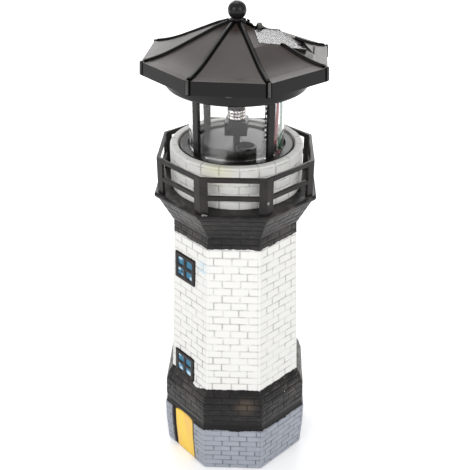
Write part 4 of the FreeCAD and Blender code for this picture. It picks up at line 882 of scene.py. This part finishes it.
def roof_finish():
    """Black roof plastic: a warm grey painted sheen, with some dust, on what faces up, deep black on the upright
    fascia, and painted shade beside the hips.
    """
    new_finish("sheened_roof_plastic")
    line, radius = painted_hip_shade()
    up = step("SeparateXYZ", {0: step("NewGeometry", out="Normal")}, "Z")
    # painted sheen: the warm grey on faces that look up stands for the soft boxes' sheen, with some dust; the
    # upright fascia stays deep black
    painted_sheen_and_dust = mixed(between(noise(38.0), 0.3, 0.7), (0.034, 0.026, 0.023), (0.048, 0.037, 0.034))
    # a dark oval over the front eave, where the painted sheen gives way to near black
    painted_sheen_and_dust = mixed(near_spot(DARK_OVAL_SPOT, 0.0050, (1.0, 2.2, 1.0)) * 0.9, painted_sheen_and_dust, (0.006, 0.006, 0.007))
    painted_sheen_and_dust = mixed(between(up, 0.72, 0.94), (0.0030, 0.0026, 0.0028), painted_sheen_and_dust)
    # painted shade: near black, with less gloss, along both sides of each hip where the ribs meet the roof
    return plug(Specular_IOR_Level=between(radius, 0.012, 0.020, 0.02, 0.28) * (1.0 - line),
                Base_Color=mixed(line, painted_sheen_and_dust, (0.0012, 0.0011, 0.0011)),
                Roughness=sums("MULTIPLY_ADD", noise(200.0, 4.0), 0.12, 0.30),
                Normal=bumped(noise(2200.0, 2.0), 0.000015, 0.6))


SATIN_BLACK = moulded("satin_black_plastic", (0.008, 0.007, 0.007), (0.024, 0.020, 0.019), 0.38, level=0.25)
LANTERN_BLACK = moulded("lantern_black_plastic", (0.006, 0.0055, 0.006), (0.013, 0.012, 0.012), 0.24,
                        grain=2500.0, depth=0.00001, level=0.26)
FLOOR_BLACK = moulded("lantern_floor_plastic", (0.0062, 0.0052, 0.0046), (0.015, 0.0124, 0.011), 0.30,
                      grain=3000.0, depth=0.00001, patch=60.0, level=0.20)
RIB_BLACK = moulded("rib_plastic", (0.0045, 0.0042, 0.0042), (0.010, 0.009, 0.009), 0.30, patch=90.0,
                    level=0.20)
ROOF_BLACK = roof_finish()

# %% [markdown]
# ### Metal, cells, clear plastic and insulation
# Metal shows by its roughness: fine marks run the way it was drawn or rolled. The solar cells are
# dark strips under a fine silver grid, and clear parts are never quite even.

# %% Metals, cells, lens and insulation
PANEL_TURN = math.radians(112.5 - 90.0)
STRIP_LONG, FINGER_APART = 0.0074, 0.0016


def metal(name, tone, dull, rough, lines=(1, 1, 1)):
    """Plated or brushed metal: two tones, roughness from stretched noise."""
    new_finish(name, Metallic=1.0)
    marks = noise(700.0, 4.0, 0.65, stretch=lines)
    return plug(Base_Color=mixed(between(noise(120.0), 0.4, 0.7), tone, dull),
                Roughness=sums("MULTIPLY_ADD", marks, 0.22, rough - 0.11),
                Normal=bumped(marks, 0.00001, 0.6))


def cell_finish():
    """Dark blue cells: a fine grid of silver lines over slightly varied strips."""
    new_finish("solar_cells", Roughness=0.25)
    turned = step("Mapping", {"Vector": place(), "Rotation": (0, 0, -PANEL_TURN)})
    x, y = step("SeparateXYZ", {0: turned}, ("X", "Y"))
    strip, finger = sums("FRACT", y * (1 / STRIP_LONG)), sums("FRACT", x * (1 / FINGER_APART))
    silver = sums("MAXIMUM", sums("LESS_THAN", strip, 0.09), sums("LESS_THAN", finger, 0.10))
    cell = mixed(noise(90.0, 2.0), (0.012, 0.014, 0.035), (0.022, 0.026, 0.060))
    return plug(Base_Color=mixed(silver * 0.6, cell, (0.34, 0.34, 0.34)))


def see_through(name, tint, rough, wave=0.0, scale=60.0, ior=1.49):
    """Clear plastic with the faint waves of its mould or extrusion."""
    new_finish(name, Base_Color=(*tint, 1), Transmission_Weight=1.0, IOR=ior)
    if wave:
        plug(Normal=bumped(noise(scale, 2.0, 0.5), wave))
    return plug(Roughness=sums("MULTIPLY_ADD", noise(300.0), rough, rough * 0.3))


# painted shade: the roof screws are zinc-plated steel, coloured near black for the shade under the fascia
SHADED_STEEL = metal("steel_darkened_as_shade", (0.10, 0.10, 0.10), (0.05, 0.05, 0.05), 0.45)
SCREW_STEEL = metal("zinc_plated_steel", (0.62, 0.62, 0.60), (0.44, 0.44, 0.43), 0.30)
MOTOR_STEEL = metal("plain_steel", (0.58, 0.58, 0.58), (0.42, 0.41, 0.40), 0.32, lines=(0.2, 0.2, 1))
NICKEL = metal("nickel_leaf", (0.72, 0.70, 0.66), (0.58, 0.56, 0.52), 0.22, lines=(1, 0.2, 1))
GEAR_PLASTIC = moulded("natural_gear_plastic", (0.80, 0.79, 0.74), (0.70, 0.69, 0.64), 0.42, patch=150.0)
SOLDER_MASK = moulded("solder_mask", (0.012, 0.16, 0.055), (0.02, 0.22, 0.08), 0.28, grain=900.0, patch=260.0)
SWITCH_BLACK = moulded("switch_plastic", (0.03, 0.03, 0.034), (0.05, 0.05, 0.055), 0.40, patch=200.0)
CELL_SLEEVE = moulded("shrink_sleeve", (0.05, 0.26, 0.13), (0.08, 0.33, 0.18), 0.22, grain=500.0, patch=90.0)
RED_SLEEVE = moulded("red_insulation", (0.58, 0.006, 0.040), (0.70, 0.012, 0.060), 0.40, patch=180.0)
GREEN_SLEEVE = moulded("green_insulation", (0.008, 0.22, 0.10), (0.02, 0.32, 0.15), 0.40, patch=180.0)
LENS_RESIN = see_through("lamp_lens", (0.97, 0.95, 0.88), 0.05, 0.00003, 400.0)
SENSOR_RESIN = moulded("sensor_lens", (0.10, 0.10, 0.09), (0.20, 0.20, 0.175), 0.22, patch=300.0)
GLAZE = see_through("panel_glaze", (0.96, 0.93, 0.89), 0.26, 0.00002, 220.0, ior=1.58)
SOLAR_CELLS = cell_finish()
print("finishes:", len(bpy.data.materials))

# %% [markdown]
# ### Which part gets what
# A table says which finish each measured part wears. The wires' sleeves look stouter in the
# photograph than bare wire is, so a Displace modifier swells them a little.

# %% Finishes onto the measured parts
NODE_FINISH = {
    "boss_screw": SCREW_STEEL, "base_screws": SCREW_STEEL, "roof_screws": SHADED_STEEL,
    "battery": CELL_SLEEVE, "battery_contacts": NICKEL, "circuit_board": SOLDER_MASK,
    "switch_body": SWITCH_BLACK, "switch_slider": SWITCH_BLACK, "drive_motor": MOTOR_STEEL,
    "beacon_shaft": MOTOR_STEEL, "beacon_gear": GEAR_PLASTIC, "motor_pinion": GEAR_PLASTIC,
    "beacon_led": LENS_RESIN, "light_sensor": SENSOR_RESIN, "finial": LANTERN_BLACK,
    "solar_panel": SOLAR_CELLS, "panel_glaze": GLAZE, "red_wire": RED_SLEEVE, "green_wire": GREEN_SLEEVE,
    "base_cover": SATIN_BLACK, "battery_cover": SATIN_BLACK,
}
for node, look in NODE_FINISH.items():
    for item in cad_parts[node].material_slots:
        item.material = look
SLEEVE_EXTRA = {"red_wire": 0.35, "green_wire": 0.1}
for wire, extra in SLEEVE_EXTRA.items():
    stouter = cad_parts[wire].modifiers.new("stouter", "DISPLACE")
    stouter.strength = extra * MM
    stouter.mid_level = 0.0
print("finished parts:", len(NODE_FINISH))

# %% [markdown]
# ## Softer edges
# Nothing moulded has a knife edge, and the thin line of light along an edge is what makes a black part
# readable. A measured part can't be changed. The measured part is kept as it is and hidden, and a copy of
# its mesh takes its place: the copy's loose triangles are merged, its flat faces are joined, and a Bevel
# rounds every edge sharper than 28 degrees.

# %% Softened copies
SHARP = math.radians(28)


def softened(node, body, look, wide, reshape=None, cuts=()):
    """A copy of a node's mesh with merged points, joined flats and edges rounded to wide metres."""
    shape = bmesh.new()
    shape.from_mesh(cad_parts[node].data)
    bmesh.ops.remove_doubles(shape, verts=shape.verts, dist=0.000004)
    bmesh.ops.dissolve_limit(shape, angle_limit=math.radians(0.6), verts=shape.verts, edges=shape.edges)
    for level in cuts:
        every = shape.verts[:] + shape.edges[:] + shape.faces[:]
        bmesh.ops.bisect_plane(shape, geom=every, dist=0.00001, plane_co=(0, 0, level), plane_no=(0, 0, 1))
    mesh = bpy.data.meshes.new(node + "_soft")
    shape.to_mesh(mesh)
    shape.free()
    if reshape:
        points = np.empty(len(mesh.vertices) * 3, np.float32)
        mesh.vertices.foreach_get("co", points)
        moved = reshape(points.reshape(-1, 3).astype(float))
        mesh.vertices.foreach_set("co", moved.astype(np.float32).ravel())
    mesh.materials.clear()
    mesh.materials.append(look)
    mesh.polygons.foreach_set("use_smooth", np.ones(len(mesh.polygons), bool))
    mesh.set_sharp_from_angle(angle=SHARP)
    piece = bpy.data.objects.new(node + "_soft", mesh)
    bpy.context.scene.collection.objects.link(piece)
    rounding = piece.modifiers.new("rounding", "BEVEL")
    settings = {"width": wide, "segments": 3, "limit_method": "ANGLE", "angle_limit": SHARP,
                "harden_normals": True, "use_clamp_overlap": True}
    for setting, value in settings.items():
        setattr(rounding, setting, value)
    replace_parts(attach(piece, body), node)
    print(piece.name, len(mesh.polygons), "faces before rounding")
    return piece


def octagonal(points):
    """Corner radius of the octagon through each point: the largest distance along a normal over cos."""
    turns = LANTERN_TURN + np.arange(SIDES) * 2 * HALF
    normals = np.stack([np.sin(turns), -np.cos(turns)])
    return (points[:, :2] @ normals).max(1) / math.cos(HALF)


ROOF_LINE = np.array([(4.2, 346.4), (14.7, 342.9), (34.0, 334.4), (46.7, 328.9), (57.4, 325.8),
                      (63.4, 325.1)])
FLARE_RADII = (20, 61)
ROOF_CUTS = (325.9, 326.4, 327.0, 327.7, 328.4, 329.2, 330.1, 331.1, 332.2, 333.4, 334.8, 336.4)


def hip_line(radius):
    """Height of the hip line at each radius, and what easing adds to it. Formula: (mean of the line over
    a span of radii - the line), fading out at the eave."""
    spans = np.linspace(-6, 6, 25)
    line = np.interp(radius, *ROOF_LINE.T)
    eased = np.interp(radius[:, None] + spans, *ROOF_LINE.T).mean(1)
    return line, (eased - line) * np.clip((FLARE_RADII[1] - radius) / 6, 0, 1)


def flared(points):
    """Eases the roof's straight runs into one hollow curve, for the points of its outer skin."""
    radius = octagonal(points) / MM
    line, lift = hip_line(radius)
    on_skin = np.abs(points[:, 2] / MM - line - 0.5) < 0.7
    flares = (radius > FLARE_RADII[0]) & (radius < FLARE_RADII[1])
    points[:, 2] += np.where(on_skin & flares, lift, 0) * MM
    return points


softened("roof_shell", "lantern", ROOF_BLACK, 0.0005, flared,
         [level * MM for level in ROOF_CUTS])
COLUMNS = [f"column_{number}" for number in (1, 2, 3, 4)]
SOFT_PARTS = [("lantern", LANTERN_BLACK, 0.0004, ["roof_collar"]),
              ("lantern", FLOOR_BLACK, 0.00025, ["lantern_base"]),
              ("lantern", LANTERN_BLACK, 0.0004, ["gear_pedestal", "led_holder", *COLUMNS]),
              ("tower", SATIN_BLACK, 0.00035, ["railing_posts"]),
              ("tower", SATIN_BLACK, 0.0004, ["railing_top_rail", "railing_mid_rail"])]
for body, look, wide, nodes in SOFT_PARTS:
    for node in nodes:
        softened(node, body, look, wide)

# %% [markdown]
# ## Ribs of the roof
# A round bar runs down each hip and ends in a soft tip short of the eave. It is a profile carried
# along a path: rings of an ellipse on the eased hip line, thinned at both ends. Three bars are cut
# short by the pocket of the solar panel.

# %% Roof ribs
RIB_ENDS = (6.6, 60.2)
CUT_RIBS = {1: 32.6, 2: 40.5, 3: 32.6}
RIB_HALF_WIDE, RIB_PROUD = 1.3, 1.35


def closed_ball(points):
    """Faces of a grid of rings whose two end rings are each closed by a small cap of quads."""
    rows, columns = points.shape[:2]
    index = np.arange(columns // 2 - 1)
    low = np.stack([index, columns - 1 - index, columns - 2 - index, index + 1], -1)
    high = low[:, ::-1] + (rows - 1) * columns
    return points, np.concatenate([grid_faces(rows, columns, wrap_columns=True), low, high])


def rib_points(corner):
    """Rings round a hip line. Formula: hip point + across the hip times sin + up times cos of the angle."""
    azimuth = LANTERN_TURN + (2 * corner + 1) * HALF
    start = CUT_RIBS.get(corner, RIB_ENDS[0])
    run = np.linspace(start, RIB_ENDS[1], 30)
    radius = np.concatenate([[start - 0.3], run, [RIB_ENDS[1] + 0.5, RIB_ENDS[1] + 0.9]])
    line, lift = hip_line(radius)
    thin = np.concatenate([[0.5], np.ones(29), [0.92, 0.7, 0.25]])[:, None]
    angle = np.linspace(0, 2 * math.pi, 16, endpoint=False)[None, ::-1]
    across = RIB_HALF_WIDE * thin * np.sin(angle)
    x = radius[:, None] * math.sin(azimuth) + across * math.cos(azimuth)
    y = -radius[:, None] * math.cos(azimuth) + across * math.sin(azimuth)
    z = (line + lift * (radius > FLARE_RADII[0]))[:, None] + RIB_PROUD * thin * np.cos(angle)
    return np.stack([x, y, z], -1) * MM


bars = [closed_ball(rib_points(corner)) for corner in range(SIDES)]
ribs = add_piece("roof_ribs", "lantern", bars, RIB_BLACK)

# %% [markdown]
# ## Clear tube
# The lens tube is extruded acrylic: straight along its length, but with faint waves round it that pull
# reflections into upright streaks. It is a closed wall of real thickness, so light bends through it.

# %% Clear tube
TUBE_OUTER, TUBE_WALL = 32.7, 1.2
TUBE_LOW, TUBE_HIGH = 260.2, 306.4
TUBE_SIDES, TUBE_ROWS = 192, 13
angles = np.linspace(0, 2 * math.pi, TUBE_SIDES, endpoint=False)[None, :]
rising = np.linspace(TUBE_LOW, TUBE_HIGH, TUBE_ROWS)
levels = np.concatenate([rising, np.linspace(TUBE_HIGH, TUBE_LOW, TUBE_ROWS)])[:, None]
spot = np.stack(np.broadcast_arrays(np.cos(angles) * 9, np.sin(angles) * 9, levels / 60), -1)
ripple = 0.05 * smooth_noise(spot, 1.3, 21.0) + 0.03 * smooth_noise(spot, 0.5, 22.0)
radius = np.repeat([TUBE_OUTER, TUBE_OUTER - TUBE_WALL], TUBE_ROWS)[:, None] + ripple - 0.05
tube_points = around(radius, angles, levels) * MM
tube = add_piece("lens_tube", "lantern", [(tube_points, grid_faces(len(levels), TUBE_SIDES, True, True))],
                 see_through("clear_acrylic", (0.992, 0.992, 0.990), 0.003, ior=1.42))
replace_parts(tube, "clear_cylinder")

# %% [markdown]
# ## Reflector
# The turning reflector is a small faceted cup of clear plastic, flashed inside with metal, so it
# glitters. Its facets are a ring of flat prisms in staggered rows, left unsmoothed.

# %% Faceted reflector
CUP_LOW, CUP_HIGH = 280.5, 287.3
CUP_BORE, HUB_RADIUS = 5.2, 1.62
FACETS = 36


def facet_rings(radii, inset):
    """Radii and angles of rings of facets: every second point is drawn in by inset, and every second ring
    is turned by half a facet."""
    index = np.arange(FACETS)[None, :]
    turns = (index + 0.5 * (np.arange(len(radii))[:, None] % 2)) * math.tau / FACETS
    return np.array(radii)[:, None] - inset * (index % 2), turns


outer, outer_turns = facet_rings([5.9, 6.35, 6.05, 6.5, 6.1, 6.5, 6.2], 0.35)
inner, inner_turns = facet_rings([CUP_BORE, CUP_BORE, 5.0, 4.2, 3.4], 0.25)
radii = np.concatenate([outer, inner, np.full((2, FACETS), HUB_RADIUS)])
turns = np.concatenate([outer_turns, inner_turns, outer_turns[:1], outer_turns[:1]])
heights = [*np.linspace(CUP_LOW, CUP_HIGH, len(outer)), CUP_HIGH, 286.1, 284.8, 283.4, 282.5, 282.1, CUP_LOW]
cup_points = around(radii, turns, np.array(heights)[:, None]) * MM
new_finish("flashed_facets", Metallic=0.85, Roughness=0.12)
FLASHED = plug(Base_Color=mixed(noise(700.0, 2.0), (0.85, 0.72, 0.68), (0.93, 0.93, 0.95)))
cup = add_piece("reflector_cup", "beacon", [(cup_points, grid_faces(len(cup_points), FACETS, True, True))],
                FLASHED, smooth=False)
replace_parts(cup, "beacon_reflector")

# %% [markdown]
# ## Beads on the fascia
# The mould's corners are a little proud of the fascia's flats, so each carries a rounded bead that
# catches the light. Its grey, lighter than the fascia's black, is a painted highlight. It is a rod with
# soft tips: rings that thin out at both ends.

# %% Beads on the fascia
FASCIA_LOW, FASCIA_HIGH = 316.7, 325.9
BEAD_RADIUS, BEAD_STRAIGHT = 0.95, 0.82
FASCIA_CORNER = (63.95, 63.35)


def blob_points(centre, size, rough, seed, rows=12, columns=16):
    """A closed uneven ball. Formula: centre + size x unit direction x (1 + rough x noise of direction)."""
    polar = np.linspace(0.02, math.pi - 0.02, rows)[:, None]
    turn = np.linspace(0, 2 * math.pi, columns, endpoint=False)[None, :]
    away = around(np.sin(polar), turn, -np.cos(polar))
    uneven = 1 + rough * smooth_noise(away, 0.9, seed)[..., None]
    return np.asarray(centre) + np.asarray(size) * away * uneven


tip = np.linspace(0, 1, 4) ** 0.5 * 0.06
steps = np.concatenate([tip, np.linspace(0.1, 0.9, 5), 1 - tip[::-1]])
past = np.maximum(np.abs(steps * 2 - 1) - BEAD_STRAIGHT, 0) / (1 - BEAD_STRAIGHT)
fat = np.sqrt(np.clip(1 - past ** 2, 0.0004, 1))
beads = []
for corner in range(SIDES):
    azimuth = LANTERN_TURN + (2 * corner + 1) * HALF
    turn = np.linspace(0, 2 * math.pi, 14, endpoint=False)[None, :]
    reach = FASCIA_CORNER[0] + (FASCIA_CORNER[1] - FASCIA_CORNER[0]) * steps[:, None]
    z = FASCIA_LOW + (FASCIA_HIGH - FASCIA_LOW) * steps[:, None]
    beads.append(closed_ball((around(reach, azimuth, z) + around(BEAD_RADIUS * fat[:, None], turn, 0)) * MM))
# painted highlight: the beads are a lighter grey than the black fascia they belong to
BEAD_HIGHLIGHT = moulded("bead_plastic_painted_highlight", (0.020, 0.019, 0.019), (0.045, 0.042, 0.040), 0.24, patch=90.0,
                     level=0.5)
fascia_beads = add_piece("fascia_beads", "lantern", beads, BEAD_HIGHLIGHT)

# %% [markdown]
# ## Glue
# The posts and columns are glued in by hand, and the rolled tube is closed beside one column by a
# beaded line of glue. A drop is an uneven ball, half sunk in what it holds, and glossy as set glue is;
# the seam is a dark line of drops with bright ones on every second, whose near white is a painted glint.

# %% Glue at the feet and in the tube's seam
def glue_finish(name, dark, light, **sockets):
    """Set glue: two tones in fine patches, with a wet gloss."""
    new_finish(name, **sockets)
    return plug(Base_Color=mixed(noise(900.0), dark, light))


def drops(name, body, blobs, look, rough, seed, every=1):
    """One mesh of uneven drops riding on a body. blobs: (centre, size) in mm; every second one if asked."""
    patches = [closed_ball(blob_points(centre, size, rough, seed + index) * MM)
               for index, (centre, size) in enumerate(blobs)]
    return add_piece(name, body, patches[::every], look)


SET_GLUE = glue_finish("set_glue", (0.10, 0.10, 0.10), (0.55, 0.55, 0.54), Roughness=0.12,
                       Specular_IOR_Level=0.6, Transmission_Weight=0.35)
POST_GLUE = [((-19.4, -54.6, 234.2), (1.3, 1.0, 0.7)), ((-17.7, -55.0, 234.1), (0.7, 0.7, 0.5)),
             ((22.6, -53.4, 243.0), (0.7, 0.5, 1.2)), ((50.2, -23.4, 238.0), (0.8, 0.8, 0.9))]
drops("glue_drops", "tower", POST_GLUE, SET_GLUE, 0.35, 31.0)

SEAM_TURN, SEAM_SUNK = math.radians(37.2), 0.985
SEAM_LOW, SEAM_HIGH, SEAM_DROPS = 276.0, 299.0, 15
drop_number = np.arange(SEAM_DROPS)
seam_fat = 0.45 + 0.55 * chance(drop_number, 3, 1, 4)
seam_turns = SEAM_TURN + 0.018 * (chance(drop_number, 5, 2, 1) - 0.5)
seam_spots = around(TUBE_OUTER, seam_turns, np.linspace(SEAM_LOW, SEAM_HIGH, SEAM_DROPS))
bright = [(spot, (fat, fat * 0.7, fat * 1.3)) for spot, fat in zip(seam_spots, seam_fat)]
dark = [(spot * (SEAM_SUNK, SEAM_SUNK, 1), (0.9 * fat, 0.7, 1.25)) for spot, fat in zip(seam_spots, seam_fat)]
# painted highlight: the clear glue's drops are coloured near white for their glints
GLINT_GLUE = glue_finish("clear_glue_painted_glints", (0.55, 0.54, 0.53), (0.92, 0.92, 0.90), Roughness=0.08,
                         Specular_IOR_Level=0.8)
seam_drops = drops("seam_drops", "lantern", bright, GLINT_GLUE, 0.4, 51.0, every=2)
dark_seam = drops("seam_line", "lantern", dark, LANTERN_BLACK, 0.35, 91.0)
COLUMN_GLUE = [((-24.6, -29.6, 262.2), (1.3, 0.9, 1.0)), ((-23.2, -30.8, 261.9), (0.8, 0.7, 0.8))]
drops("column_glue", "lantern", COLUMN_GLUE, SET_GLUE, 0.35, 71.0)
